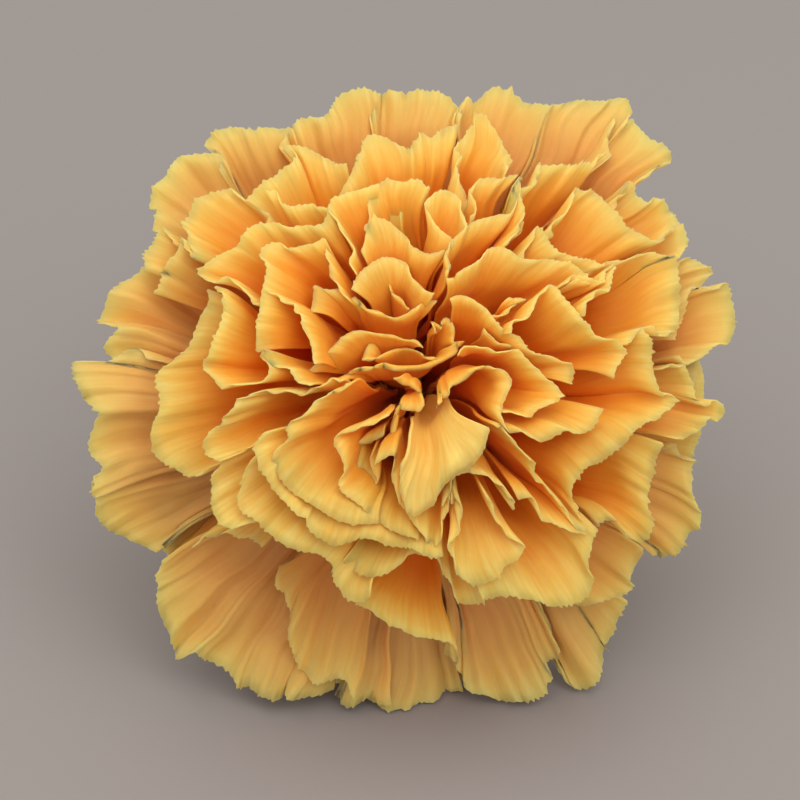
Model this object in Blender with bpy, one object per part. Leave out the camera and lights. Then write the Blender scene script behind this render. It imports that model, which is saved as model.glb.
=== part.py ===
"""Carnation bloom, picked and laid down: ruffled petals in layers, held by a green calyx.

The bloom rests on its lowest spreading petals and on the cut end of its stem, with its face
leaning toward -Y. Petals grow round the flower's own axis: its throat, where the petals leave
the calyx, is the flower's origin and its face looks along the flower's +Z. Lengths in the
constants are millimetres and are turned into metres when a mesh is made.
"""
import math
import random

import bmesh
import bpy
import numpy as np

MM = 0.001

# How the flower lies: its axis leans this far from upright, on the edge of its cut stem.
TILT = math.radians(40.0)
STEM_RADIUS = 2.1
STEM_END = -30.5
BEND_HEIGHT = 1.0

# Bloom: the petals' margins end on a dome over the heart, or on the flatter skirt round it.
DOME_TOP = 36.0
DOME_DROP = 0.016
SKIRT_HEIGHT = 13.0
SKIRT_SAG = 18.0
SKIRT_RADIUS = 38.0
SKIRT_SLOPE = 0.25
LOW_SIDE_FROM = 0.1
LOW_SIDE_SPAN = 1.1

# The view in which the margins are measured: 0.115 mm to each point at the bloom's middle.
VIEW_TURN = math.radians(-4.0)
VIEW_RISE = math.radians(38.0)
VIEW_AWAY = 600.0
VIEW_MIDDLE = np.array((-0.93, -2.10, 28.74))
POINTS_ACROSS = 800
MM_PER_POINT = 0.115
SIGHT_STEPS = 60
SIGHT_EASE = 0.4

# Margin of each petal from end to end: name, spread (0 on the dome, 1 on the skirt), bow of
# the face, lift off the dome or skirt in millimetres, and points across and down the view.
PETAL_RIMS = (
    ("hood", 0.0, 0.9, -1.0, (
        (350, 288), (360, 270), (369, 261), (380, 252), (391, 249), (403, 250), (411, 257), (416, 268),
        (420, 282), (426, 294), (433, 300))),
    ("hood_tongue", 0.0, 0.9, -3.0, (
        (374, 264), (383, 263), (391, 270), (397, 279), (402, 289), (407, 300), (410, 311))),
    ("heart_left", 0.0, 1.0, -2.5, (
        (309, 318), (308, 300), (311, 285), (318, 292), (335, 292), (345, 298), (352, 301), (360, 294),
        (368, 305), (380, 311), (395, 318), (411, 312), (420, 304), (430, 300), (439, 304))),
    ("heart_sill", 0.0, 0.9, -3.0, (
        (303, 374), (310, 364), (324, 351), (340, 341), (353, 333), (364, 330), (378, 331), (392, 337),
        (404, 345), (418, 349))),
    ("heart_fold", 0.0, 0.9, -4.0, (
        (374, 335), (370, 344), (363, 353), (364, 361), (376, 358), (385, 350), (394, 347), (406, 351),
        (416, 358), (422, 366), (438, 364))),
    ("heart_crumple", 0.0, 1.4, -4.0, (
        (333, 382), (337, 372), (345, 364), (356, 365), (372, 371), (381, 366), (386, 372), (400, 376),
        (416, 379), (430, 373), (446, 362), (452, 352), (447, 341))),
    ("heart_column", 0.0, 0.9, -4.0, (
        (425, 338), (429, 322), (436, 333), (443, 319), (447, 332), (443, 346), (452, 350), (458, 340))),
    ("right_line", 0.0, 0.6, -1.0, (
        (440, 305), (455, 302), (472, 305), (486, 311), (496, 320), (506, 330), (520, 341), (532, 351),
        (548, 358), (562, 361), (571, 364), (573, 374), (570, 386))),
    ("right_slip", 0.0, 0.6, -2.0, (
        (478, 327), (488, 332), (498, 341), (514, 343), (526, 349), (538, 357))),
    ("right_bit", 0.0, 0.6, -2.0, (
        (490, 317), (504, 311), (516, 307), (528, 304), (518, 298), (506, 300))),
    ("right_pocket", 0.0, 0.6, 0.0, (
        (458, 352), (478, 342), (488, 344), (502, 350), (516, 353), (528, 356), (536, 366), (547, 376),
        (558, 386), (565, 393), (562, 399), (548, 405), (536, 412), (524, 418), (513, 416), (508, 408))),
    ("right_bowl", 0.0, 0.9, 0.0, (
        (443, 408), (441, 393), (456, 390), (455, 380), (466, 378), (476, 369), (488, 365), (502, 366),
        (513, 370), (519, 379), (515, 388), (508, 396), (505, 406), (506, 420), (512, 431), (527, 438),
        (545, 437), (562, 432), (580, 429), (592, 425), (599, 412), (601, 404))),
    ("right_peak", 0.0, 0.3, 0.0, (
        (511, 333), (512, 320), (524, 313), (533, 308), (538, 299), (549, 291), (556, 288), (558, 299),
        (563, 310), (571, 320), (580, 328), (588, 334), (602, 339), (614, 344), (625, 350), (622, 364),
        (612, 380))),
    ("right_leaf", 0.0, 0.5, 0.0, (
        (562, 287), (574, 278), (587, 273), (592, 278), (607, 279), (613, 268), (619, 260), (622, 266),
        (613, 280), (601, 295), (588, 308), (576, 320))),
    ("right_sail", 0.0, 0.8, 0.0, (
        (443, 284), (460, 281), (464, 272), (476, 266), (483, 259), (489, 251), (500, 247), (512, 250),
        (522, 257), (540, 258), (557, 257), (570, 257), (582, 262), (590, 268), (588, 276), (575, 283))),
    ("top_panel", 0.0, 0.2, 0.0, (
        (356, 268), (349, 248), (341, 230), (334, 214), (333, 205), (346, 202), (360, 198), (371, 191),
        (380, 188))),
    ("top_apron", 0.0, 1.0, -1.0, (
        (360, 250), (361, 234), (366, 219), (385, 217), (398, 221), (408, 228), (415, 238), (428, 247),
        (440, 245), (450, 240))),
    ("top_crest", 0.0, 0.6, -1.0, (
        (362, 230), (369, 210), (379, 189), (386, 186), (400, 187), (411, 186), (419, 182), (424, 188),
        (433, 190))),
    ("top_slip", 0.0, 0.6, -3.0, (
        (379, 213), (392, 215), (405, 217), (400, 206), (399, 194), (406, 191), (415, 196), (424, 197),
        (433, 195))),
    ("top_pocket", 0.0, 0.6, 0.0, (
        (449, 242), (442, 226), (435, 210), (432, 199), (437, 189), (447, 186), (455, 191), (460, 203),
        (463, 213), (467, 221))),
    ("top_right", 0.0, 1.0, 0.0, (
        (444, 276), (445, 258), (450, 240), (455, 231), (463, 221), (471, 215), (485, 213), (500, 211),
        (510, 203), (515, 192), (518, 180), (519, 196), (514, 222), (509, 244))),
    ("low_leaf", 0.0, 1.2, 0.0, (
        (350, 383), (336, 396), (322, 402), (308, 407), (296, 414), (286, 424), (285, 433), (291, 441),
        (281, 449), (275, 461), (277, 474), (284, 487), (297, 497), (311, 505), (323, 514), (336, 523),
        (350, 528), (366, 528), (378, 525))),
    ("low_pocket", 0.0, 0.6, 0.0, (
        (394, 421), (380, 426), (366, 433), (354, 437), (341, 438), (336, 447), (339, 459), (341, 470),
        (337, 481), (343, 491), (353, 501), (363, 512), (374, 523), (386, 532), (398, 537), (412, 537),
        (424, 540))),
    ("low_curl", 0.0, 0.9, -2.0, (
        (386, 440), (369, 441), (359, 446), (352, 457), (353, 470), (359, 481), (367, 487), (371, 478),
        (366, 466), (369, 452))),
    ("low_strip", 0.0, 0.9, 0.0, (
        (369, 466), (378, 462), (388, 459), (395, 457), (393, 470), (396, 483), (395, 497), (404, 504),
        (411, 514), (418, 526), (426, 534), (433, 541))),
    ("low_bright", 0.0, 2.2, 1.0, (
        (488, 424), (481, 438), (477, 450), (471, 462), (459, 472), (448, 482), (441, 494), (430, 502),
        (418, 511), (409, 502), (403, 489), (400, 475), (398, 462))),
    ("low_sliver", 0.0, 0.9, -0.5, (
        (419, 514), (424, 530), (431, 541), (437, 549), (443, 545), (445, 531), (447, 515), (450, 500),
        (454, 488))),
    ("low_heart", 0.0, 1.4, -2.0, (
        (385, 455), (390, 440), (392, 425), (393, 412), (400, 417), (412, 416), (419, 418), (422, 406),
        (417, 394), (412, 388), (407, 394), (399, 390), (392, 380))),
    ("low_arch", 0.0, 0.5, 0.0, (
        (441, 502), (447, 486), (457, 474), (471, 463), (484, 471), (497, 481), (509, 494), (519, 501),
        (514, 509))),
    ("low_tongue", 0.0, 1.2, 0.0, (
        (452, 500), (458, 487), (463, 498), (465, 511), (462, 527), (455, 540), (454, 556), (460, 570),
        (472, 580), (486, 582), (497, 577), (505, 568), (521, 561), (524, 548), (519, 535), (507, 522),
        (497, 508), (490, 496))),
    ("low_crease", 0.0, 0.9, 0.0, (
        (495, 430), (502, 423), (508, 437), (520, 454), (532, 470), (545, 487), (560, 503), (574, 515),
        (588, 532), (570, 528), (552, 518), (544, 508), (538, 501), (520, 500))),
    ("left_peak", 0.05, 0.5, 0.0, (
        (262, 308), (243, 296), (225, 286), (210, 275), (199, 265), (212, 255), (228, 247), (239, 247),
        (243, 239), (252, 230), (263, 225), (278, 227), (292, 229), (312, 227), (323, 230), (330, 222),
        (332, 216))),
    ("left_loop", 0.0, 0.3, 0.0, (
        (264, 350), (262, 335), (261, 318), (261, 300), (260, 288), (264, 280), (266, 270), (262, 259),
        (264, 250), (272, 244), (295, 246), (310, 243), (326, 241))),
    ("left_shell", 0.0, 0.2, 0.0, (
        (261, 289), (275, 291), (288, 297), (298, 309), (305, 321), (309, 336), (310, 352), (308, 368))),
    ("left_slip", 0.0, 0.6, -1.0, (
        (327, 247), (323, 261), (328, 272), (340, 286), (351, 299))),
    ("left_pocket", 0.0, 0.3, 0.0, (
        (214, 287), (218, 303), (220, 320), (219, 338), (216, 351), (206, 360), (200, 368), (208, 376),
        (225, 380), (245, 381), (257, 380), (266, 371), (268, 360), (265, 347), (272, 362), (285, 374),
        (297, 384), (308, 388))),
    ("left_skirt", 0.35, 1.0, 0.0, (
        (209, 288), (211, 303), (202, 317), (194, 333), (184, 345), (170, 354), (158, 364), (156, 376),
        (161, 392), (163, 415), (160, 433), (163, 454), (172, 465), (184, 473), (198, 475), (212, 468))),
    ("left_beak", 0.05, 0.4, 0.0, (
        (345, 380), (325, 384), (305, 389), (285, 388), (265, 393), (250, 391), (241, 397), (234, 408),
        (224, 421), (210, 430), (200, 440), (200, 448), (210, 454), (226, 459))),
    ("low_left_lobe", 0.1, 1.4, 0.0, (
        (232, 452), (216, 468), (210, 481), (214, 492), (211, 503), (216, 514), (224, 523), (236, 528),
        (248, 529), (260, 524))),
    ("low_left_rim", 0.08, 1.1, 0.0, (
        (262, 452), (250, 470), (243, 490), (243, 506), (254, 517), (262, 527), (270, 538), (282, 548),
        (297, 551), (313, 549), (324, 554), (333, 564), (338, 578), (343, 592), (353, 601), (366, 603),
        (376, 598))),
    ("low_inner_rim", 0.0, 0.7, 0.0, (
        (262, 430), (258, 450), (262, 470), (270, 485), (280, 497), (287, 509), (297, 518), (307, 520),
        (304, 524), (313, 535), (325, 544), (340, 548), (356, 541), (372, 546), (390, 552), (410, 549),
        (425, 556), (440, 558), (452, 554))),
    ("low_mid_rim", 0.1, 0.6, 0.0, (
        (340, 556), (356, 575), (366, 583), (380, 584), (392, 578), (404, 561), (420, 558), (438, 562),
        (444, 572), (448, 584), (456, 594), (466, 601), (480, 599), (492, 591))),
    ("low_right_rim", 0.05, 1.3, 0.0, (
        (478, 594), (497, 592), (512, 592), (528, 594), (540, 600), (549, 604), (563, 601), (578, 599),
        (589, 590), (594, 580), (592, 566), (591, 552), (594, 540), (600, 530))),
    ("right_rim", 0.05, 0.6, 0.0, (
        (586, 536), (588, 532), (581, 523), (574, 512), (570, 503), (569, 493), (571, 484), (580, 474),
        (592, 464), (605, 454), (620, 445), (633, 434), (642, 425), (660, 417), (673, 407), (680, 396),
        (668, 397), (660, 394), (657, 381), (653, 366), (647, 346), (641, 335), (634, 330), (627, 339),
        (621, 350))),
    ("right_lobe", 0.25, 1.3, 0.0, (
        (590, 533), (598, 527), (607, 524), (616, 531), (630, 538), (641, 543), (650, 537), (655, 524),
        (651, 508), (647, 496), (652, 489), (647, 482), (652, 475), (650, 465), (656, 454), (659, 442))),
    ("right_shoulder", 0.12, 1.2, 0.0, (
        (560, 262), (590, 262), (618, 262), (640, 263), (655, 260), (669, 256), (676, 268), (679, 283),
        (681, 300), (680, 315), (676, 326), (670, 334), (655, 334), (645, 331))),
    ("top_right_fold", 0.05, 0.7, 0.0, (
        (528, 262), (531, 240), (535, 225), (538, 220), (545, 229), (553, 240), (558, 246), (570, 247),
        (582, 251), (596, 254), (606, 258), (614, 264))),
    ("top_right_lobe", 0.15, 1.0, 0.0, (
        (548, 228), (556, 214), (568, 207), (577, 197), (590, 194), (600, 201), (612, 211), (623, 220),
        (626, 229), (638, 233), (648, 241), (660, 237), (668, 232), (673, 222))),
    ("top_right_wall", 0.15, 0.5, 0.0, (
        (512, 236), (516, 216), (519, 200), (524, 189), (530, 182), (541, 179), (541, 171), (550, 174),
        (560, 171), (574, 174), (586, 172), (594, 163), (597, 155), (595, 146))),
    ("top_wall", 0.15, 0.5, 0.0, (
        (467, 214), (470, 192), (480, 187), (488, 181), (500, 184), (513, 184), (517, 180))),
    ("top_fan", 0.25, 1.2, 0.0, (
        (467, 212), (463, 188), (459, 168), (457, 150), (458, 134), (464, 123), (474, 119), (484, 117),
        (494, 128), (503, 142), (509, 158), (513, 178))),
    ("top_left_fan", 0.2, 1.2, 0.0, (
        (330, 214), (336, 196), (344, 180), (352, 166), (360, 152), (366, 138), (376, 132), (388, 133),
        (400, 141), (407, 145), (414, 136), (421, 128), (430, 135), (440, 127), (456, 124))),
    ("top_left_peak", 0.2, 1.2, 0.0, (
        (240, 200), (258, 184), (268, 181), (280, 174), (294, 168), (290, 160), (282, 150), (300, 152),
        (318, 156), (332, 161), (344, 161), (352, 158))),
    ("top_left_bump", 0.1, 0.6, 0.0, (
        (262, 190), (280, 196), (290, 206), (298, 203), (308, 202), (318, 206), (326, 213), (331, 222))),
    ("left_high", 0.3, 1.2, 0.0, (
        (178, 242), (196, 262), (190, 246), (180, 226), (196, 205), (214, 197), (230, 195), (242, 199),
        (256, 207), (266, 216))),
    ("skirt_left", 1.0, 0, 0.0, (
        (150, 360), (113, 361), (96, 357), (82, 357), (78, 363), (80, 380), (83, 395), (88, 410),
        (97, 418), (89, 430), (84, 438), (87, 450), (91, 460), (99, 466), (98, 480), (88, 491),
        (98, 503))),
    ("skirt_left_low", 1.0, 0, -2.0, (
        (110, 470), (95, 484), (98, 505), (101, 519), (115, 532), (130, 540), (150, 552), (165, 545),
        (184, 522))),
    ("skirt_left_high", 0.9, 0, 0.0, (
        (120, 360), (113, 352), (105, 342), (112, 334), (119, 330), (102, 317), (100, 313), (104, 300),
        (108, 288), (120, 279), (138, 277), (150, 285))),
    ("skirt_left_mid", 0.6, 0, 0.0, (
        (150, 300), (155, 290), (160, 275), (166, 262), (174, 258), (178, 245), (168, 238), (158, 232),
        (150, 247), (139, 257), (141, 268), (140, 280))),
    ("skirt_top_left", 0.9, 0, 0.0, (
        (158, 232), (160, 220), (162, 206), (150, 194), (154, 184), (164, 178), (167, 168), (178, 157),
        (198, 154), (216, 152), (226, 160))),
    ("skirt_top_left2", 0.85, 0, 0.0, (
        (216, 170), (218, 145), (204, 135), (207, 131), (222, 127), (240, 124), (247, 127), (262, 123),
        (276, 120), (288, 120), (300, 130))),
    ("skirt_top", 0.8, 0, 0.0, (
        (286, 150), (290, 124), (297, 110), (310, 111), (318, 117), (330, 106), (342, 94), (352, 92),
        (362, 90), (372, 93), (382, 88))),
    ("skirt_top_mid", 0.85, 0, 0.0, (
        (366, 120), (374, 95), (383, 88), (398, 89), (414, 87), (432, 92), (446, 97), (456, 105),
        (462, 112), (460, 124))),
    ("skirt_top_right", 0.85, 0, 0.0, (
        (456, 130), (459, 108), (466, 100), (480, 96), (492, 90), (504, 94), (518, 101), (535, 107),
        (548, 109), (560, 106))),
    ("skirt_top_right2", 0.95, 0, 0.0, (
        (535, 130), (545, 112), (562, 105), (578, 101), (592, 101), (608, 104), (618, 101), (631, 103),
        (624, 120), (620, 128))),
    ("skirt_right_high", 0.85, 0, 0.0, (
        (596, 160), (604, 140), (612, 125), (622, 121), (634, 131), (646, 141), (664, 146), (668, 155),
        (673, 163), (660, 172), (650, 182), (640, 193))),
    ("skirt_right_wing", 0.6, 0, 0.0, (
        (609, 210), (617, 192), (625, 178), (634, 180), (640, 194), (652, 198), (664, 196), (676, 196),
        (680, 207), (683, 222), (682, 236), (678, 250), (672, 262))),
    ("skirt_right_bit", 0.9, 0, 0.0, (
        (672, 280), (676, 264), (688, 261), (697, 270), (710, 277), (702, 285), (690, 291))),
    ("skirt_right", 0.8, 0, 0.0, (
        (672, 345), (682, 310), (692, 291), (706, 289), (722, 287), (728, 298), (731, 307), (735, 314),
        (734, 322), (738, 327), (732, 335), (722, 342), (706, 350), (690, 357), (676, 360))),
    ("skirt_right_edge", 0.55, 0, 0.0, (
        (655, 366), (668, 362), (682, 359), (688, 371), (694, 384), (698, 394), (703, 403), (712, 400),
        (722, 401), (732, 409), (724, 416), (711, 421), (700, 429), (688, 434), (672, 439))),
    ("skirt_right_low", 0.9, 0, 0.0, (
        (660, 452), (675, 446), (690, 450), (704, 456), (697, 465), (692, 477), (690, 492), (694, 504),
        (700, 516), (697, 526), (690, 536), (684, 544), (684, 551), (673, 558), (666, 564), (657, 556),
        (646, 560))),
    ("skirt_low_right", 0.7, 0, 0.0, (
        (640, 545), (642, 556), (634, 566), (632, 576), (636, 588), (626, 599), (617, 602), (600, 604),
        (585, 608), (572, 603), (560, 606))),
    ("skirt_bottom_right", 1.0, 0, 0.0, (
        (628, 600), (621, 615), (617, 628), (610, 640), (609, 655), (602, 668), (595, 681), (586, 690),
        (575, 688), (567, 678), (560, 668), (554, 655), (549, 640))),
    ("skirt_bottom", 0.9, 0, 0.0, (
        (452, 645), (461, 656), (466, 673), (471, 692), (484, 698), (500, 704), (518, 706), (532, 702),
        (543, 698), (545, 682), (548, 667), (553, 656), (564, 661), (560, 646), (551, 622))),
    ("skirt_bottom_mid", 1.0, 0, -1.0, (
        (372, 660), (379, 690), (379, 715), (390, 719), (405, 720), (420, 713), (432, 707), (443, 703),
        (453, 701), (463, 692), (472, 688))),
    ("skirt_bottom_left", 0.8, 0, 0.0, (
        (282, 560), (280, 580), (290, 589), (292, 610), (292, 638), (297, 654), (303, 666), (309, 676),
        (317, 678), (325, 672), (332, 674), (340, 670), (348, 677), (352, 688), (356, 702))),
    ("skirt_bottom_left2", 0.95, 0, 0.0, (
        (330, 680), (341, 690), (337, 705), (350, 712), (362, 709), (372, 702), (380, 709), (388, 700))),
    ("skirt_corner", 0.95, 0, 0.0, (
        (160, 552), (152, 573), (158, 587), (160, 605), (167, 620), (176, 632), (179, 646), (181, 661),
        (193, 656), (200, 650), (206, 662), (216, 668), (228, 679), (231, 695), (242, 690), (252, 700),
        (266, 702), (276, 705), (285, 695), (290, 690), (298, 703), (306, 697), (320, 697), (336, 690))),
    ("ball_low_left", 0.55, 0, 0.0, (
        (190, 548), (196, 540), (210, 532), (226, 530), (240, 536), (256, 533), (270, 545))),
    ("low_fall", 0.3, 0.6, 0.0, (
        (360, 600), (372, 603), (383, 612), (395, 623), (410, 630), (420, 638), (436, 640), (450, 643),
        (459, 655))),
)

# Guard petals: a ring under the skirt that closes its gaps.
GUARDS = 9
GUARD_RADIUS = 32.0
GUARD_RADIUS_SHIFT = 2.0
GUARD_HALF_ANGLE = math.radians(29.0)
GUARD_POINTS = 15
GUARD_LIFT = -3.5
GUARD_WAVES = ((5, 0.9), (13, 0.6))
GUARD_ROLL = 0.7
GUARD_SEED = 800

# Petal blades. A pair gives the value on the dome and the value on the skirt.
PETAL_THICK = 0.65
SEGMENT = 3.0
ROWS = 3
FIRST_SHARE = (0.45, 0.15)
ROOT_RADIUS = (1.0, 3.2)
RUN_POWER = (1.5, 1.1)
CLAW_RISE = 7.0
CLAW_POWER = 6
BOW_SHARE = 0.6
SHARP = 0.6
SOFT = 3.0
SOFT_POWER = 2.5
LINE_STEP = 0.2
PETAL_TRIANGLES = 11800
MEND_ROUNDS = 8

# Teeth that are cut into each margin: shortest and longest, on every other point of the rim.
TOOTH = (0.5, 1.1)
TOOTH_SEED = 60

# Core: the bundle of claws that fills the calyx and the heart of the bloom, radius and height.
CORE = ((2.6, -24.0), (3.6, -22.0), (4.7, -16.0), (5.0, -8.0), (4.9, 0.0), (5.3, 1.6), (7.0, 5.0),
        (9.5, 8.5), (10.6, 12.0), (10.0, 15.5), (7.5, 19.0), (4.0, 21.5), (1.2, 22.3))
CORE_SIDES = 18

# Calyx: the green tube round the claws, with five teeth, four bracts and a stub of stem.
CALYX_OUTER = ((3.3, -28.6), (4.9, -27.2), (5.8, -23.0), (6.4, -16.0), (6.5, -9.0), (6.2, -4.5))
CALYX_INNER = ((5.35, -4.5), (5.4, -8.0), (5.1, -16.2), (4.0, -22.4), (2.9, -24.5))
CALYX_TEETH = 5
CALYX_SIDES = 30
TOOTH_MOUTH = (6.1, -2.2)
TOOTH_TIP = (7.4, 0.8)
TOOTH_THICK = 0.7
BRACTS = 4
BRACT_TURN = 0.3
BRACT_LENGTH = 9.5
BRACT_HALF_WIDTH = 3.6
BRACT_THICK = 0.7
BRACT_ROOT = 0.5
BRACT_POINTED = 2.2
BRACT_TIP_HALF_WIDTH = 0.15
BRACT_OUTER_LENGTH = 0.86
BRACT_CLEAR = 0.1
BRACT_LAP = 0.2
BRACT_FLARE = 0.35
BRACT_ROWS = ((0.0, 4), (0.3, 6), (0.6, 6), (0.85, 3), (1.0, 1))
STEM = ((STEM_RADIUS, STEM_END), (STEM_RADIUS, -29.6), (STEM_RADIUS * 1.2, -28.2),
        (STEM_RADIUS * 0.9, -26.0))
STEM_SIDES = 24

PETAL_COLOUR = (0.87, 0.42, 0.09)
PETAL_ROUGHNESS = 0.6
CALYX_COLOUR = (0.12, 0.22, 0.06)
CALYX_ROUGHNESS = 0.5


def smooth(x):
    """Ease from 0 to 1."""
    x = np.clip(x, 0.0, 1.0)
    return x * x * (3.0 - 2.0 * x)


def lerp(a, b, t):
    return a + (b - a) * t


def lowest_height():
    """Height of the cut stem's lowest edge under the throat, once the flower is tilted."""
    return -STEM_RADIUS * math.sin(TILT) + STEM_END * math.cos(TILT)


def lay_down(points, bend=False, rest=0.0):
    """Tilt points of the flower's frame to where it lies; bend turns petals up off the table."""
    points = np.asarray(points, dtype=float)
    x, y, z = points[:, 0], points[:, 1], points[:, 2]
    laid = np.stack([x, y * math.cos(TILT) - z * math.sin(TILT),
                     y * math.sin(TILT) + z * math.cos(TILT) - lowest_height()], -1)
    if bend:
        above = laid[:, 2] - rest
        eased = BEND_HEIGHT * np.exp(np.minimum(above / BEND_HEIGHT, 1) - 1)
        laid[:, 2] = rest + np.where(above > BEND_HEIGHT, above, eased)
    return laid


def stand_up(points):
    """The reverse of lay_down, without its bend."""
    x, y, z = points[:, 0], points[:, 1], points[:, 2] + lowest_height()
    return np.stack([x, y * math.cos(TILT) + z * math.sin(TILT),
                     -y * math.sin(TILT) + z * math.cos(TILT)], -1)


def rim_height(x, y, spread, lift):
    """Height of the petals' margins over the throat; the skirt sags on its low side, -Y."""
    radius = np.hypot(x, y)
    dome = DOME_TOP - DOME_DROP * radius ** 2
    low_side = smooth((LOW_SIDE_FROM - y / np.maximum(radius, 1.0)) / LOW_SIDE_SPAN)
    skirt = SKIRT_HEIGHT - SKIRT_SAG * low_side + SKIRT_SLOPE * (SKIRT_RADIUS - radius)
    return lerp(dome, skirt, spread) + lift


def rim_on_bloom(points, spread, lift):
    """Follow the lines of sight through a margin's points down to the dome or skirt."""
    points = np.array(points, dtype=float)
    toward = np.array((math.sin(VIEW_TURN) * math.cos(VIEW_RISE),
                       -math.cos(VIEW_TURN) * math.cos(VIEW_RISE), math.sin(VIEW_RISE)))
    right = np.array((math.cos(VIEW_TURN), math.sin(VIEW_TURN), 0.0))
    up = np.cross(toward, right)
    middle = POINTS_ACROSS / 2
    eye = VIEW_MIDDLE + VIEW_AWAY * toward
    seen = (VIEW_MIDDLE + MM_PER_POINT * (np.outer(points[:, 0] - middle, right)
                                          + np.outer(middle - points[:, 1], up)))
    start = stand_up(np.broadcast_to(eye, seen.shape))
    ray = stand_up(seen) - start
    height = np.full(len(points), DOME_TOP / 2)
    for _ in range(SIGHT_STEPS):
        place = start + ray * ((height - start[:, 2]) / ray[:, 2])[:, None]
        height = lerp(height, rim_height(place[:, 0], place[:, 1], spread, lift), SIGHT_EASE)
    return start + ray * ((height - start[:, 2]) / ray[:, 2])[:, None]


def guard_rim(index):
    """Margin of a guard petal: an arc with seeded waves, shorter on the low side."""
    rng = random.Random(GUARD_SEED + index)
    middle = 2 * math.pi * (index + 0.5) / GUARDS
    angle = middle + np.linspace(-GUARD_HALF_ANGLE, GUARD_HALF_ANGLE, GUARD_POINTS)
    waves = sum(size * np.sin(count * angle + rng.uniform(0, 2 * math.pi))
                for count, size in GUARD_WAVES)
    radius = GUARD_RADIUS + waves + GUARD_RADIUS_SHIFT * np.sin(angle)
    x, y = radius * np.cos(angle), radius * np.sin(angle)
    height = rim_height(x, y, 1.0, GUARD_LIFT) + GUARD_ROLL * waves[::-1]
    return np.stack([x, y, height], -1)


def distance_along(line):
    steps = np.linalg.norm(np.diff(line, axis=0), axis=1)
    return np.concatenate([[0.0], np.cumsum(steps)])


def softened(line, at, reach):
    """Places along a line with its corners rounded over a reach, at distances along it."""
    along = distance_along(line)
    fine = np.linspace(0, along[-1], int(along[-1] / LINE_STEP) + 2)
    dense = np.stack([np.interp(fine, along, line[:, k]) for k in range(3)], -1)
    near = np.exp(-0.5 * ((at[:, None] - fine[None, :]) / reach) ** 2)
    return near @ dense / near.sum(1)[:, None]


def petal_surface(rim, at, shares, spread, bow):
    """Middle surface of a petal: rows of points from its claw to its rim.

    A share of 0 is the throat and 1 the rim. The rim's folds soften toward the claw. The claw
    rises clear of the calyx first, and the blade then spreads outward.
    """
    sharp = softened(rim, at, SHARP)
    soft = softened(rim, at, SOFT)
    middle = sharp[:, :2].mean(0)
    root = middle / max(np.linalg.norm(middle), 1.0) * lerp(*ROOT_RADIUS, spread)
    rows = []
    for share in shares:
        end = lerp(soft, sharp, share ** SOFT_POWER)
        flat = root + (end[:, :2] - root) * share ** lerp(*RUN_POWER, spread)
        claw = CLAW_RISE * (1 - (1 - share) ** CLAW_POWER)
        rise = 1 - (1 - share) ** (1 + BOW_SHARE * bow)
        rows.append(np.column_stack([flat, claw + (end[:, 2] - CLAW_RISE) * rise]))
    return rows


def cut_teeth(rows, seed):
    """Draw every other point of the rim outward by a seeded length, so that the rim has teeth."""
    rng = random.Random(TOOTH_SEED + seed)
    outward = rows[-1] - rows[-2]
    outward /= np.linalg.norm(outward, axis=1)[:, None]
    lengths = [rng.uniform(*TOOTH) if k % 2 else 0.0 for k in range(len(outward))]
    rows[-1] = rows[-1] + outward * np.array(lengths)[:, None]


def grid_triangles(rows, columns):
    """Triangles of a grid of points, and the loop of points round it."""
    tris = []
    for row in range(rows - 1):
        for k in range(columns - 1):
            a = row * columns + k
            c = a + columns
            tris += [(a, a + 1, c + 1), (a, c + 1, c)]
    last = (rows - 1) * columns
    rim = list(range(columns)) + [row * columns + columns - 1 for row in range(1, rows - 1)]
    rim += list(range(last + columns - 1, last - 1, -1))
    rim += [row * columns for row in range(rows - 2, 0, -1)]
    return np.array(tris), rim


def corner_normals(points, tris):
    face = np.cross(points[tris[:, 1]] - points[tris[:, 0]], points[tris[:, 2]] - points[tris[:, 0]])
    normals = np.zeros_like(points)
    for k in range(3):
        np.add.at(normals, tris[:, k], face)
    return normals / np.linalg.norm(normals, axis=1)[:, None]


def blade(points, tris, rim, thick):
    """A closed blade round a middle surface; both faces are split alike."""
    normals = corner_normals(points, tris)
    count = len(points)
    verts = np.concatenate([points + normals * thick / 2, points - normals * thick / 2])
    faces = [tuple(f) for f in tris]
    faces += [(c + count, b + count, a + count) for a, b, c in tris]
    for a, b in zip(rim, rim[1:] + rim[:1]):
        faces += [(b, a, a + count), (b, a + count, b + count)]
    return verts, faces


def turned(profile, sides, caps=True):
    """Points and faces of a profile, radius and height, turned round the flower's axis."""
    verts = []
    faces = []
    for radius, height in profile:
        for k in range(sides):
            angle = 2 * math.pi * k / sides
            verts.append((radius * math.cos(angle), radius * math.sin(angle), height))
    for row in range(len(profile) - 1):
        for k in range(sides):
            a, b = row * sides + k, row * sides + (k + 1) % sides
            faces.append((a, b, b + sides, a + sides))
    if caps:
        faces.append(tuple(reversed(range(sides))))
        faces.append(tuple(range((len(profile) - 1) * sides, len(profile) * sides)))
    return verts, faces


def make_object(name, verts, faces):
    """A mesh object from points in millimetres, with its faces turned outward."""
    mesh = bpy.data.meshes.new(name)
    mesh.from_pydata([tuple(v) for v in np.asarray(verts) * MM], [],
                     [tuple(int(i) for i in f) for f in faces])
    mesh.validate()
    bm = bmesh.new()
    bm.from_mesh(mesh)
    bmesh.ops.recalc_face_normals(bm, faces=bm.faces)
    bm.to_mesh(mesh)
    bm.free()
    obj = bpy.data.objects.new(name, mesh)
    bpy.context.collection.objects.link(obj)
    return obj


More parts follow.
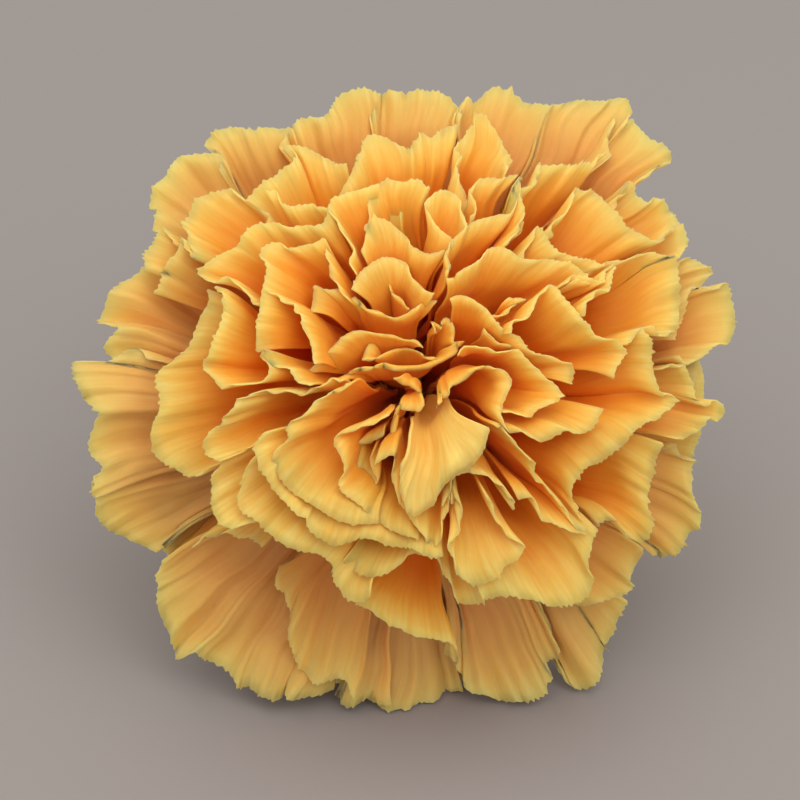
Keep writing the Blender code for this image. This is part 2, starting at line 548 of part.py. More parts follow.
def join_by_union(base, others):
    """Union of base with all the others, which are then removed."""
    pile = bpy.data.collections.new("pile")
    bpy.context.scene.collection.children.link(pile)
    for obj in others:
        bpy.context.collection.objects.unlink(obj)
        pile.objects.link(obj)
    union = base.modifiers.new("union", "BOOLEAN")
    union.operation = "UNION"
    union.operand_type = "COLLECTION"
    union.collection = pile
    union.solver = "MANIFOLD"
    depsgraph = bpy.context.evaluated_depsgraph_get()
    joined = bpy.data.meshes.new_from_object(base.evaluated_get(depsgraph))
    base.modifiers.clear()
    base.data = joined
    for obj in list(pile.objects):
        bpy.data.objects.remove(obj)
    bpy.data.collections.remove(pile)


def keep_largest_shell(obj):
    """Drop loose scraps and closed-in hollows that the union leaves."""
    bm = bmesh.new()
    bm.from_mesh(obj.data)
    bmesh.ops.triangulate(bm, faces=bm.faces)
    seen = set()
    shells = []
    for start in bm.verts:
        if start in seen:
            continue
        seen.add(start)
        shell = [start]
        for vert in shell:
            for edge in vert.link_edges:
                other = edge.other_vert(vert)
                if other not in seen:
                    seen.add(other)
                    shell.append(other)
        shells.append(shell)
    shells.sort(key=len)
    for shell in shells[:-1]:
        bmesh.ops.delete(bm, geom=shell, context="VERTS")
    bm.to_mesh(obj.data)
    bm.free()


def mend_pinches(obj):
    """Where two folds of the union touch along a line, cut the pinch out and close the holes."""
    bm = bmesh.new()
    bm.from_mesh(obj.data)
    bmesh.ops.triangulate(bm, faces=bm.faces)
    for _ in range(MEND_ROUNDS):
        pinched = {vert for edge in bm.edges if len(edge.link_faces) != 2 for vert in edge.verts}
        if not pinched:
            break
        bmesh.ops.delete(bm, geom=list(pinched), context="VERTS")
        loose = [vert for vert in bm.verts if not vert.link_faces]
        bmesh.ops.delete(bm, geom=loose, context="VERTS")
        bmesh.ops.holes_fill(bm, edges=[edge for edge in bm.edges if edge.is_boundary], sides=0)
        bmesh.ops.triangulate(bm, faces=[face for face in bm.faces if len(face.verts) > 3])
    bmesh.ops.recalc_face_normals(bm, faces=bm.faces)
    bm.to_mesh(obj.data)
    bm.free()


def thin_out(obj, triangles):
    """Collapse the slivers that the union leaves along its seams, down to a triangle count."""
    thin = obj.modifiers.new("thin", "DECIMATE")
    thin.ratio = min(1.0, triangles / len(obj.data.polygons))
    depsgraph = bpy.context.evaluated_depsgraph_get()
    thinned = bpy.data.meshes.new_from_object(obj.evaluated_get(depsgraph))
    obj.modifiers.clear()
    obj.data = thinned


def colour(obj, name, rgb, roughness):
    material = bpy.data.materials.new(name)
    material.use_nodes = True
    shader = material.node_tree.nodes["Principled BSDF"]
    shader.inputs["Base Color"].default_value = (*rgb, 1.0)
    shader.inputs["Roughness"].default_value = roughness
    obj.data.materials.clear()
    obj.data.materials.append(material)


def petal_blade(rim, spread, bow, seed):
    """One petal as a closed blade that starts inside the core, laid down."""
    length = distance_along(rim)[-1]
    columns = max(4, round(length / SEGMENT) + 1)
    shares = np.linspace(lerp(*FIRST_SHARE, spread), 1.0, ROWS)
    rows = petal_surface(rim, np.linspace(0, length, columns), shares, spread, bow)
    cut_teeth(rows, seed)
    points = lay_down(np.concatenate(rows), bend=True, rest=PETAL_THICK / 2)
    tris, edge = grid_triangles(ROWS, columns)
    return make_object("blade", *blade(points, tris, edge, PETAL_THICK))


def make_petals():
    verts, faces = turned(CORE, CORE_SIDES)
    bloom = make_object("petals", lay_down(verts), faces)
    petals = [(rim_on_bloom(points, spread, lift), spread, bow)
              for name, spread, bow, lift, points in PETAL_RIMS]
    petals += [(guard_rim(index), 1.0, 0.0) for index in range(GUARDS)]
    blades = [petal_blade(*petal, seed) for seed, petal in enumerate(petals)]
    join_by_union(bloom, blades)
    mend_pinches(bloom)
    keep_largest_shell(bloom)
    thin_out(bloom, PETAL_TRIANGLES)
    colour(bloom, "petals_orange_yellow", PETAL_COLOUR, PETAL_ROUGHNESS)
    return bloom


def tooth_row(inward):
    """Ring of points along the calyx's five pointed teeth, set inward by a distance."""
    row = []
    for k in range(CALYX_SIDES):
        up = 1 - abs((k * CALYX_TEETH / CALYX_SIDES) % 1 * 2 - 1)
        radius = lerp(TOOTH_MOUTH[0], TOOTH_TIP[0], up) - inward
        height = lerp(TOOTH_MOUTH[1], TOOTH_TIP[1], up) + inward / 2
        angle = 2 * math.pi * k / CALYX_SIDES
        row.append((radius * math.cos(angle), radius * math.sin(angle), height))
    return row


def calyx_tube():
    """The hollow tube, closed at its base, with its teeth between its outer and inner walls."""
    mouth = ((0.0, 0.0), (0.0, 0.0))
    verts, faces = turned(CALYX_OUTER + mouth + CALYX_INNER, CALYX_SIDES)
    first = len(CALYX_OUTER) * CALYX_SIDES
    verts[first:first + 2 * CALYX_SIDES] = tooth_row(0.0) + tooth_row(TOOTH_THICK)
    return make_object("calyx", lay_down(verts), faces)


def strip(first, second, first_u, second_u):
    """Triangles between two rows with different numbers of points."""
    tris = []
    i = j = 0
    while i < len(first) - 1 or j < len(second) - 1:
        step_first = j == len(second) - 1 or (
            i < len(first) - 1 and first_u[i + 1] <= second_u[j + 1])
        if step_first:
            tris.append((first[i], first[i + 1], second[j]))
            i += 1
        else:
            tris.append((first[i], second[j + 1], second[j]))
            j += 1
    return tris


def bract_blade(index):
    """One broad pointed bract that hugs the base of the calyx."""
    outer = index % 2
    turn = index * 2 * math.pi / BRACTS + BRACT_TURN
    rows, points, places = [], [], []
    for share, segments in BRACT_ROWS:
        rows.append(list(range(len(points), len(points) + segments + 1)))
        half = BRACT_HALF_WIDTH * (1 - share ** BRACT_POINTED) + BRACT_TIP_HALF_WIDTH
        length = BRACT_LENGTH * lerp(1, BRACT_OUTER_LENGTH, outer)
        height = CALYX_OUTER[0][1] + BRACT_ROOT + share * length
        radius = np.interp(height, [p[1] for p in CALYX_OUTER], [p[0] for p in CALYX_OUTER])
        radius += BRACT_CLEAR + BRACT_LAP * outer + BRACT_FLARE * share
        for u in np.linspace(-1, 1, segments + 1):
            angle = turn + u * half / radius
            points.append((radius * math.cos(angle), radius * math.sin(angle), height))
            places.append(u)
    places = np.array(places)
    tris = []
    for first, second in zip(rows, rows[1:]):
        tris += strip(first, second, places[first], places[second])
    edge = rows[0] + [row[-1] for row in rows[1:-1]] + rows[-1][::-1]
    edge += [row[0] for row in rows[-2:0:-1]]
    verts, faces = blade(np.array(points), np.array(tris), edge, BRACT_THICK)
    return make_object("bract", lay_down(verts), faces)


def make_calyx():
    calyx = calyx_tube()
    extras = [bract_blade(index) for index in range(BRACTS)]
    verts, faces = turned(STEM, STEM_SIDES)
    extras.append(make_object("stem", lay_down(verts), faces))
    join_by_union(calyx, extras)
    keep_largest_shell(calyx)
    colour(calyx, "calyx_green", CALYX_COLOUR, CALYX_ROUGHNESS)
    return calyx


def centre_on_origin(objects):
    """Move the meshes so that the part stands on z = 0 with its box centred on the origin."""
    corners = np.concatenate([np.array([v.co for v in obj.data.vertices]) for obj in objects])
    low, high = corners.min(0), corners.max(0)
    shift = np.array((-(low[0] + high[0]) / 2, -(low[1] + high[1]) / 2, -low[2]))
    for obj in objects:
        for vert in obj.data.vertices:
            vert.co = [c + s for c, s in zip(vert.co, shift)]


def main():
    for obj in list(bpy.data.objects):
        bpy.data.objects.remove(obj)
    objects = (make_petals(), make_calyx())
    centre_on_origin(objects)
    for obj in objects:
        for face in obj.data.polygons:
            face.use_smooth = True


main()
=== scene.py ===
# %% [markdown]
# # A carnation head, picked and laid down
#
# This lesson builds the orange-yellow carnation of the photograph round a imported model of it.
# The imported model, the frame, says where everything is: a bloom of petals and a green calyx
# with a stub of stem. Each step below replaces a part of that plain model with a finer one in
# the same place, and then gives it a material, a camera and light.

# %% Load the frame
import bpy
import math
import random
import numpy as np
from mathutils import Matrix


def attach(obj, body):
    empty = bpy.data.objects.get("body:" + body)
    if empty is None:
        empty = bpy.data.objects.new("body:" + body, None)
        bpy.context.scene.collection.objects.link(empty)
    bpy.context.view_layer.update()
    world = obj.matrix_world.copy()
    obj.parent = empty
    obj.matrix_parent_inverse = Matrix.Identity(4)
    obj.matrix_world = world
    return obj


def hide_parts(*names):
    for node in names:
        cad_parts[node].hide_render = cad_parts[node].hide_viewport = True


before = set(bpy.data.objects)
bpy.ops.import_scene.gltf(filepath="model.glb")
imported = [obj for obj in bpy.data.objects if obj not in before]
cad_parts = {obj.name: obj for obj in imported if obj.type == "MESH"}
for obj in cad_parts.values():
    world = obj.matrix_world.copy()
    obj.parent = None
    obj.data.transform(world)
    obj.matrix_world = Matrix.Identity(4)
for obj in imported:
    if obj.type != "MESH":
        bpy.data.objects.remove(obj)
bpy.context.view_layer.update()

MM = 0.001
print("nodes in the frame:", sorted(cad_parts))

# %% [markdown]
# ## Small helpers
#
# Blender's operators act on everything that is selected, so each piece starts with an empty
# selection. `places` and `set_places` read and write all points of a mesh in one go, which is
# much quicker than moving them one by one, and `apply_modifier` adds a modifier and applies
# it, as a modeller does when a shape is settled. `finish_piece` dresses a finished piece, hangs
# it under the root and hides the frame's node that it replaces.

# %% Helpers for pieces
def deselect_all():
    if bpy.context.mode != "OBJECT":
        bpy.ops.object.mode_set(mode="OBJECT")
    bpy.ops.object.select_all(action="DESELECT")


def named(name):
    piece = bpy.context.object
    piece.name = name
    piece.data.name = name
    return piece


def places(piece):
    found = np.empty(len(piece.data.vertices) * 3)
    piece.data.vertices.foreach_get("co", found)
    return found.reshape(-1, 3)


def set_places(piece, points):
    piece.data.vertices.foreach_set("co", np.asarray(points, dtype=np.float64).ravel())
    piece.data.update()


def apply_modifier(piece, kind, **settings):
    bpy.context.view_layer.objects.active = piece
    modifier = piece.modifiers.new(kind.title(), kind)
    for key, value in settings.items():
        setattr(modifier, key, value)
    bpy.ops.object.modifier_apply(modifier=modifier.name)


def finish_piece(piece, node, material):
    piece.data.materials.clear()
    piece.data.materials.append(material)
    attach(piece, "root")
    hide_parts(node)


def smooth(x):
    x = np.clip(x, 0.0, 1.0)
    return x * x * (3.0 - 2.0 * x)


def lerp(a, b, t):
    return a + (b - a) * t


# %% [markdown]
# ## How the flower lies
#
# The flower is made upright in its own frame, in millimetres: the throat, where the petals
# leave the calyx, is at zero and the face looks along +Z. The head is then tilted, so that it
# leans on its lowest petals and on the cut end of its stem, as a picked carnation does on a
# table. Petals that would go through the table are bent up along it.

# %% The flower's place
TILT = math.radians(40.0)
STEM_RADIUS = 2.1
STEM_END = -30.5
BEND_HEIGHT = 1.0
REST = 0.25
CENTRE_SHIFT = np.array((0.10578, 7.43203, 0.0))
LOWEST = -STEM_RADIUS * math.sin(TILT) + STEM_END * math.cos(TILT)


def lay_down(points, bend=False):
    """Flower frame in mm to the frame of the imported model, in mm."""
    x, y, z = points[:, 0], points[:, 1], points[:, 2]
    laid = np.stack([x, y * math.cos(TILT) - z * math.sin(TILT),
                     y * math.sin(TILT) + z * math.cos(TILT) - LOWEST], -1)
    if bend:
        above = laid[:, 2] - REST
        eased = BEND_HEIGHT * np.exp(np.minimum(above / BEND_HEIGHT, 1) - 1)
        laid[:, 2] = REST + np.where(above > BEND_HEIGHT, above, eased)
    return laid + CENTRE_SHIFT


def stand_up(points):
    """The reverse of lay_down, without its bend."""
    x, y, z = (points - CENTRE_SHIFT).T
    z = z + LOWEST
    return np.stack([x, y * math.cos(TILT) + z * math.sin(TILT),
                     -y * math.sin(TILT) + z * math.cos(TILT)], -1)


# %% [markdown]
# ## Reading the petals from the photograph
#
# What makes a carnation is the line of each petal's margin: it folds back and forth, makes
# pockets and peaks, and no two are alike. A painter would draw those lines first, and so does
# this lesson. Each row below is one margin, read from end to end in points across and
# down the 800-point picture. The other numbers say whether it ends on the dome of the heart
# (spread 0) or on the flat skirt round it (1), how far its face bows up, and how far in
# millimetres it stands above or below its neighbours.

# %% Petal margins
PETAL_RIMS = (
    ("hood", 0.0, 0.9, -1.0, (
        (350, 288), (360, 270), (369, 261), (380, 252), (391, 249), (403, 250), (411, 257), (416, 268),
        (420, 282), (426, 294), (433, 300))),
    ("hood_tongue", 0.0, 0.9, -3.0, (
        (374, 264), (383, 263), (391, 270), (397, 279), (402, 289), (407, 300), (410, 311))),
    ("heart_left", 0.0, 1.0, -2.5, (
        (309, 318), (308, 300), (311, 285), (318, 292), (335, 292), (345, 298), (352, 301), (360, 294),
        (368, 305), (380, 311), (395, 318), (411, 312), (420, 304), (430, 300), (439, 304))),
    ("heart_sill", 0.0, 0.9, -3.0, (
        (303, 374), (310, 364), (324, 351), (340, 341), (353, 333), (364, 330), (378, 331), (392, 337),
        (404, 345), (418, 349))),
    ("heart_fold", 0.0, 0.9, -4.0, (
        (374, 335), (370, 344), (363, 353), (364, 361), (376, 358), (385, 350), (394, 347), (406, 351),
        (416, 358), (422, 366), (438, 364))),
    ("heart_crumple", 0.0, 1.4, -4.0, (
        (333, 382), (337, 372), (345, 364), (356, 365), (372, 371), (381, 366), (386, 372), (400, 376),
        (416, 379), (430, 373), (446, 362), (452, 352), (447, 341))),
    ("heart_column", 0.0, 0.9, -4.0, (
        (425, 338), (429, 322), (436, 333), (443, 319), (447, 332), (443, 346), (452, 350), (458, 340))),
    ("right_line", 0.0, 0.6, -1.0, (
        (440, 305), (455, 302), (472, 305), (486, 311), (496, 320), (506, 330), (520, 341), (532, 351),
        (548, 358), (562, 361), (571, 364), (573, 374), (570, 386))),
    ("right_slip", 0.0, 0.6, -2.0, (
        (478, 327), (488, 332), (498, 341), (514, 343), (526, 349), (538, 357))),
    ("right_bit", 0.0, 0.6, -2.0, (
        (490, 317), (504, 311), (516, 307), (528, 304), (518, 298), (506, 300))),
    ("right_pocket", 0.0, 0.6, 0.0, (
        (458, 352), (478, 342), (488, 344), (502, 350), (516, 353), (528, 356), (536, 366), (547, 376),
        (558, 386), (565, 393), (562, 399), (548, 405), (536, 412), (524, 418), (513, 416), (508, 408))),
    ("right_bowl", 0.0, 0.9, 0.0, (
        (443, 408), (441, 393), (456, 390), (455, 380), (466, 378), (476, 369), (488, 365), (502, 366),
        (513, 370), (519, 379), (515, 388), (508, 396), (505, 406), (506, 420), (512, 431), (527, 438),
        (545, 437), (562, 432), (580, 429), (592, 425), (599, 412), (601, 404))),
    ("right_peak", 0.0, 0.3, 0.0, (
        (511, 333), (512, 320), (524, 313), (533, 308), (538, 299), (549, 291), (556, 288), (558, 299),
        (563, 310), (571, 320), (580, 328), (588, 334), (602, 339), (614, 344), (625, 350), (622, 364),
        (612, 380))),
    ("right_leaf", 0.0, 0.5, 0.0, (
        (562, 287), (574, 278), (587, 273), (592, 278), (607, 279), (613, 268), (619, 260), (622, 266),
        (613, 280), (601, 295), (588, 308), (576, 320))),
    ("right_sail", 0.0, 0.8, 0.0, (
        (443, 284), (460, 281), (464, 272), (476, 266), (483, 259), (489, 251), (500, 247), (512, 250),
        (522, 257), (540, 258), (557, 257), (570, 257), (582, 262), (590, 268), (588, 276), (575, 283))),
    ("top_panel", 0.0, 0.2, 0.0, (
        (356, 268), (349, 248), (341, 230), (334, 214), (333, 205), (346, 202), (360, 198), (371, 191),
        (380, 188))),
    ("top_apron", 0.0, 1.0, -1.0, (
        (360, 250), (361, 234), (366, 219), (385, 217), (398, 221), (408, 228), (415, 238), (428, 247),
        (440, 245), (450, 240))),
    ("top_crest", 0.0, 0.6, -1.0, (
        (362, 230), (369, 210), (379, 189), (386, 186), (400, 187), (411, 186), (419, 182), (424, 188),
        (433, 190))),
    ("top_slip", 0.0, 0.6, -3.0, (
        (379, 213), (392, 215), (405, 217), (400, 206), (399, 194), (406, 191), (415, 196), (424, 197),
        (433, 195))),
    ("top_pocket", 0.0, 0.6, 0.0, (
        (449, 242), (442, 226), (435, 210), (432, 199), (437, 189), (447, 186), (455, 191), (460, 203),
        (463, 213), (467, 221))),
    ("top_right", 0.0, 1.0, 0.0, (
        (444, 276), (445, 258), (450, 240), (455, 231), (463, 221), (471, 215), (485, 213), (500, 211),
        (510, 203), (515, 192), (518, 180), (519, 196), (514, 222), (509, 244))),
    ("low_leaf", 0.0, 1.2, 0.0, (
        (350, 383), (336, 396), (322, 402), (308, 407), (296, 414), (286, 424), (285, 433), (291, 441),
        (281, 449), (275, 461), (277, 474), (284, 487), (297, 497), (311, 505), (323, 514), (336, 523),
        (350, 528), (366, 528), (378, 525))),
    ("low_pocket", 0.0, 0.6, 0.0, (
        (394, 421), (380, 426), (366, 433), (354, 437), (341, 438), (336, 447), (339, 459), (341, 470),
        (337, 481), (343, 491), (353, 501), (363, 512), (374, 523), (386, 532), (398, 537), (412, 537),
        (424, 540))),
    ("low_curl", 0.0, 0.9, -2.0, (
        (386, 440), (369, 441), (359, 446), (352, 457), (353, 470), (359, 481), (367, 487), (371, 478),
        (366, 466), (369, 452))),
    ("low_strip", 0.0, 0.9, 0.0, (
        (369, 466), (378, 462), (388, 459), (395, 457), (393, 470), (396, 483), (395, 497), (404, 504),
        (411, 514), (418, 526), (426, 534), (433, 541))),
    ("low_bright", 0.0, 2.2, 1.0, (
        (488, 424), (481, 438), (477, 450), (471, 462), (459, 472), (448, 482), (441, 494), (430, 502),
        (418, 511), (409, 502), (403, 489), (400, 475), (398, 462))),
    ("low_sliver", 0.0, 0.9, -0.5, (
        (419, 514), (424, 530), (431, 541), (437, 549), (443, 545), (445, 531), (447, 515), (450, 500),
        (454, 488))),
    ("low_heart", 0.0, 1.4, -2.0, (
        (385, 455), (390, 440), (392, 425), (393, 412), (400, 417), (412, 416), (419, 418), (422, 406),
        (417, 394), (412, 388), (407, 394), (399, 390), (392, 380))),
    ("low_arch", 0.0, 0.5, 0.0, (
        (441, 502), (447, 486), (457, 474), (471, 463), (484, 471), (497, 481), (509, 494), (519, 501),
        (514, 509))),
    ("low_tongue", 0.0, 1.2, 0.0, (
        (452, 500), (458, 487), (463, 498), (465, 511), (462, 527), (455, 540), (454, 556), (460, 570),
        (472, 580), (486, 582), (497, 577), (505, 568), (521, 561), (524, 548), (519, 535), (507, 522),
        (497, 508), (490, 496))),
    ("low_crease", 0.0, 0.9, 0.0, (
        (495, 430), (502, 423), (508, 437), (520, 454), (532, 470), (545, 487), (560, 503), (574, 515),
        (588, 532), (570, 528), (552, 518), (544, 508), (538, 501), (520, 500))),
    ("left_peak", 0.05, 0.5, 0.0, (
        (262, 308), (243, 296), (225, 286), (210, 275), (199, 265), (212, 255), (228, 247), (239, 247),
        (243, 239), (252, 230), (263, 225), (278, 227), (292, 229), (312, 227), (323, 230), (330, 222),
        (332, 216))),
    ("left_loop", 0.0, 0.3, 0.0, (
        (264, 350), (262, 335), (261, 318), (261, 300), (260, 288), (264, 280), (266, 270), (262, 259),
        (264, 250), (272, 244), (295, 246), (310, 243), (326, 241))),
    ("left_shell", 0.0, 0.2, 0.0, (
        (261, 289), (275, 291), (288, 297), (298, 309), (305, 321), (309, 336), (310, 352), (308, 368))),
    ("left_slip", 0.0, 0.6, -1.0, (
        (327, 247), (323, 261), (328, 272), (340, 286), (351, 299))),
    ("left_pocket", 0.0, 0.3, 0.0, (
        (214, 287), (218, 303), (220, 320), (219, 338), (216, 351), (206, 360), (200, 368), (208, 376),
        (225, 380), (245, 381), (257, 380), (266, 371), (268, 360), (265, 347), (272, 362), (285, 374),
        (297, 384), (308, 388))),
    ("left_skirt", 0.35, 1.0, 0.0, (
        (209, 288), (211, 303), (202, 317), (194, 333), (184, 345), (170, 354), (158, 364), (156, 376),
        (161, 392), (163, 415), (160, 433), (163, 454), (172, 465), (184, 473), (198, 475), (212, 468))),
    ("left_beak", 0.05, 0.4, 0.0, (
        (345, 380), (325, 384), (305, 389), (285, 388), (265, 393), (250, 391), (241, 397), (234, 408),
        (224, 421), (210, 430), (200, 440), (200, 448), (210, 454), (226, 459))),
    ("low_left_lobe", 0.1, 1.4, 0.0, (
        (232, 452), (216, 468), (210, 481), (214, 492), (211, 503), (216, 514), (224, 523), (236, 528),
        (248, 529), (260, 524))),
    ("low_left_rim", 0.08, 1.1, 0.0, (
        (262, 452), (250, 470), (243, 490), (243, 506), (254, 517), (262, 527), (270, 538), (282, 548),
        (297, 551), (313, 549), (324, 554), (333, 564), (338, 578), (343, 592), (353, 601), (366, 603),
        (376, 598))),
    ("low_inner_rim", 0.0, 0.7, 0.0, (
        (262, 430), (258, 450), (262, 470), (270, 485), (280, 497), (287, 509), (297, 518), (307, 520),
        (304, 524), (313, 535), (325, 544), (340, 548), (356, 541), (372, 546), (390, 552), (410, 549),
        (425, 556), (440, 558), (452, 554))),
    ("low_mid_rim", 0.1, 0.6, 0.0, (
        (340, 556), (356, 575), (366, 583), (380, 584), (392, 578), (404, 561), (420, 558), (438, 562),
        (444, 572), (448, 584), (456, 594), (466, 601), (480, 599), (492, 591))),
    ("low_right_rim", 0.05, 1.3, 0.0, (
        (478, 594), (497, 592), (512, 592), (528, 594), (540, 600), (549, 604), (563, 601), (578, 599),
        (589, 590), (594, 580), (592, 566), (591, 552), (594, 540), (600, 530))),
    ("right_rim", 0.05, 0.6, 0.0, (
        (586, 536), (588, 532), (581, 523), (574, 512), (570, 503), (569, 493), (571, 484), (580, 474),
        (592, 464), (605, 454), (620, 445), (633, 434), (642, 425), (660, 417), (673, 407), (680, 396),
        (668, 397), (660, 394), (657, 381), (653, 366), (647, 346), (641, 335), (634, 330), (627, 339),
        (621, 350))),
    ("right_lobe", 0.25, 1.3, 0.0, (
        (590, 533), (598, 527), (607, 524), (616, 531), (630, 538), (641, 543), (650, 537), (655, 524),
        (651, 508), (647, 496), (652, 489), (647, 482), (652, 475), (650, 465), (656, 454), (659, 442))),
    ("right_shoulder", 0.12, 1.2, 0.0, (
        (560, 262), (590, 262), (618, 262), (640, 263), (655, 260), (669, 256), (676, 268), (679, 283),
        (681, 300), (680, 315), (676, 326), (670, 334), (655, 334), (645, 331))),
    ("top_right_fold", 0.05, 0.7, 0.0, (
        (528, 262), (531, 240), (535, 225), (538, 220), (545, 229), (553, 240), (558, 246), (570, 247),
        (582, 251), (596, 254), (606, 258), (614, 264))),
    ("top_right_lobe", 0.15, 1.0, 0.0, (
        (548, 228), (556, 214), (568, 207), (577, 197), (590, 194), (600, 201), (612, 211), (623, 220),
        (626, 229), (638, 233), (648, 241), (660, 237), (668, 232), (673, 222))),
    ("top_right_wall", 0.15, 0.5, 0.0, (
        (512, 236), (516, 216), (519, 200), (524, 189), (530, 182), (541, 179), (541, 171), (550, 174),
        (560, 171), (574, 174), (586, 172), (594, 163), (597, 155), (595, 146))),
    ("top_wall", 0.15, 0.5, 0.0, (
        (467, 214), (470, 192), (480, 187), (488, 181), (500, 184), (513, 184), (517, 180))),
    ("top_fan", 0.25, 1.2, 0.0, (
        (467, 212), (463, 188), (459, 168), (457, 150), (458, 134), (464, 123), (474, 119), (484, 117),
        (494, 128), (503, 142), (509, 158), (513, 178))),
    ("top_left_fan", 0.2, 1.2, 0.0, (
        (330, 214), (336, 196), (344, 180), (352, 166), (360, 152), (366, 138), (376, 132), (388, 133),
        (400, 141), (407, 145), (414, 136), (421, 128), (430, 135), (440, 127), (456, 124))),
    ("top_left_peak", 0.2, 1.2, 0.0, (
        (240, 200), (258, 184), (268, 181), (280, 174), (294, 168), (290, 160), (282, 150), (300, 152),
        (318, 156), (332, 161), (344, 161), (352, 158))),
    ("top_left_bump", 0.1, 0.6, 0.0, (
        (262, 190), (280, 196), (290, 206), (298, 203), (308, 202), (318, 206), (326, 213), (331, 222))),
    ("left_high", 0.3, 1.2, 0.0, (
        (178, 242), (196, 262), (190, 246), (180, 226), (196, 205), (214, 197), (230, 195), (242, 199),
        (256, 207), (266, 216))),
    ("skirt_left", 1.0, 0, 0.0, (
        (150, 360), (113, 361), (96, 357), (82, 357), (78, 363), (80, 380), (83, 395), (88, 410),
        (97, 418), (89, 430), (84, 438), (87, 450), (91, 460), (99, 466), (98, 480), (88, 491),
        (98, 503))),
    ("skirt_left_low", 1.0, 0, -2.0, (
        (110, 470), (95, 484), (98, 505), (101, 519), (115, 532), (130, 540), (150, 552), (165, 545),
        (184, 522))),
    ("skirt_left_high", 0.9, 0, 0.0, (
        (120, 360), (113, 352), (105, 342), (112, 334), (119, 330), (102, 317), (100, 313), (104, 300),
        (108, 288), (120, 279), (138, 277), (150, 285))),
    ("skirt_left_mid", 0.6, 0, 0.0, (
        (150, 300), (155, 290), (160, 275), (166, 262), (174, 258), (178, 245), (168, 238), (158, 232),
        (150, 247), (139, 257), (141, 268), (140, 280))),
    ("skirt_top_left", 0.9, 0, 0.0, (
        (158, 232), (160, 220), (162, 206), (150, 194), (154, 184), (164, 178), (167, 168), (178, 157),
        (198, 154), (216, 152), (226, 160))),
    ("skirt_top_left2", 0.85, 0, 0.0, (
        (216, 170), (218, 145), (204, 135), (207, 131), (222, 127), (240, 124), (247, 127), (262, 123),
        (276, 120), (288, 120), (300, 130))),
    ("skirt_top", 0.8, 0, 0.0, (
        (286, 150), (290, 124), (297, 110), (310, 111), (318, 117), (330, 106), (342, 94), (352, 92),
        (362, 90), (372, 93), (382, 88))),
    ("skirt_top_mid", 0.85, 0, 0.0, (
        (366, 120), (374, 95), (383, 88), (398, 89), (414, 87), (432, 92), (446, 97), (456, 105),
        (462, 112), (460, 124))),
    ("skirt_top_right", 0.85, 0, 0.0, (
        (456, 130), (459, 108), (466, 100), (480, 96), (492, 90), (504, 94), (518, 101), (535, 107),
        (548, 109), (560, 106))),
    ("skirt_top_right2", 0.95, 0, 0.0, (
        (535, 130), (545, 112), (562, 105), (578, 101), (592, 101), (608, 104), (618, 101), (631, 103),
        (624, 120), (620, 128))),
    ("skirt_right_high", 0.85, 0, 0.0, (
        (596, 160), (604, 140), (612, 125), (622, 121), (634, 131), (646, 141), (664, 146), (668, 155),
        (673, 163), (660, 172), (650, 182), (640, 193))),
    ("skirt_right_wing", 0.6, 0, 0.0, (
        (609, 210), (617, 192), (625, 178), (634, 180), (640, 194), (652, 198), (664, 196), (676, 196),
        (680, 207), (683, 222), (682, 236), (678, 250), (672, 262))),
    ("skirt_right_bit", 0.9, 0, 0.0, (
        (672, 280), (676, 264), (688, 261), (697, 270), (710, 277), (702, 285), (690, 291))),
    ("skirt_right", 0.8, 0, 0.0, (
        (672, 345), (682, 310), (692, 291), (706, 289), (722, 287), (728, 298), (731, 307), (735, 314),
        (734, 322), (738, 327), (732, 335), (722, 342), (706, 350), (690, 357), (676, 360))),
    ("skirt_right_edge", 0.55, 0, 0.0, (
        (655, 366), (668, 362), (682, 359), (688, 371), (694, 384), (698, 394), (703, 403), (712, 400),
        (722, 401), (732, 409), (724, 416), (711, 421), (700, 429), (688, 434), (672, 439))),
    ("skirt_right_low", 0.9, 0, 0.0, (
        (660, 452), (675, 446), (690, 450), (704, 456), (697, 465), (692, 477), (690, 492), (694, 504),
        (700, 516), (697, 526), (690, 536), (684, 544), (684, 551), (673, 558), (666, 564), (657, 556),
        (646, 560))),
    ("skirt_low_right", 0.7, 0, 0.0, (
        (640, 545), (642, 556), (634, 566), (632, 576), (636, 588), (626, 599), (617, 602), (600, 604),
        (585, 608), (572, 603), (560, 606))),
    ("skirt_bottom_right", 1.0, 0, 0.0, (
        (628, 600), (621, 615), (617, 628), (610, 640), (609, 655), (602, 668), (595, 681), (586, 690),
        (575, 688), (567, 678), (560, 668), (554, 655), (549, 640))),
    ("skirt_bottom", 0.9, 0, 0.0, (
        (452, 645), (461, 656), (466, 673), (471, 692), (484, 698), (500, 704), (518, 706), (532, 702),
        (543, 698), (545, 682), (548, 667), (553, 656), (564, 661), (560, 646), (551, 622))),
    ("skirt_bottom_mid", 1.0, 0, -1.0, (
        (372, 660), (379, 690), (379, 715), (390, 719), (405, 720), (420, 713), (432, 707), (443, 703),
        (453, 701), (463, 692), (472, 688))),
    ("skirt_bottom_left", 0.8, 0, 0.0, (
        (282, 560), (280, 580), (290, 589), (292, 610), (292, 638), (297, 654), (303, 666), (309, 676),
        (317, 678), (325, 672), (332, 674), (340, 670), (348, 677), (352, 688), (356, 702))),
    ("skirt_bottom_left2", 0.95, 0, 0.0, (
        (330, 680), (341, 690), (337, 705), (350, 712), (362, 709), (372, 702), (380, 709), (388, 700))),
    ("skirt_corner", 0.95, 0, 0.0, (
        (160, 552), (152, 573), (158, 587), (160, 605), (167, 620), (176, 632), (179, 646), (181, 661),
        (193, 656), (200, 650), (206, 662), (216, 668), (228, 679), (231, 695), (242, 690), (252, 700),
        (266, 702), (276, 705), (285, 695), (290, 690), (298, 703), (306, 697), (320, 697), (336, 690))),
    ("ball_low_left", 0.55, 0, 0.0, (
        (190, 548), (196, 540), (210, 532), (226, 530), (240, 536), (256, 533), (270, 545))),
    ("low_fall", 0.3, 0.6, 0.0, (
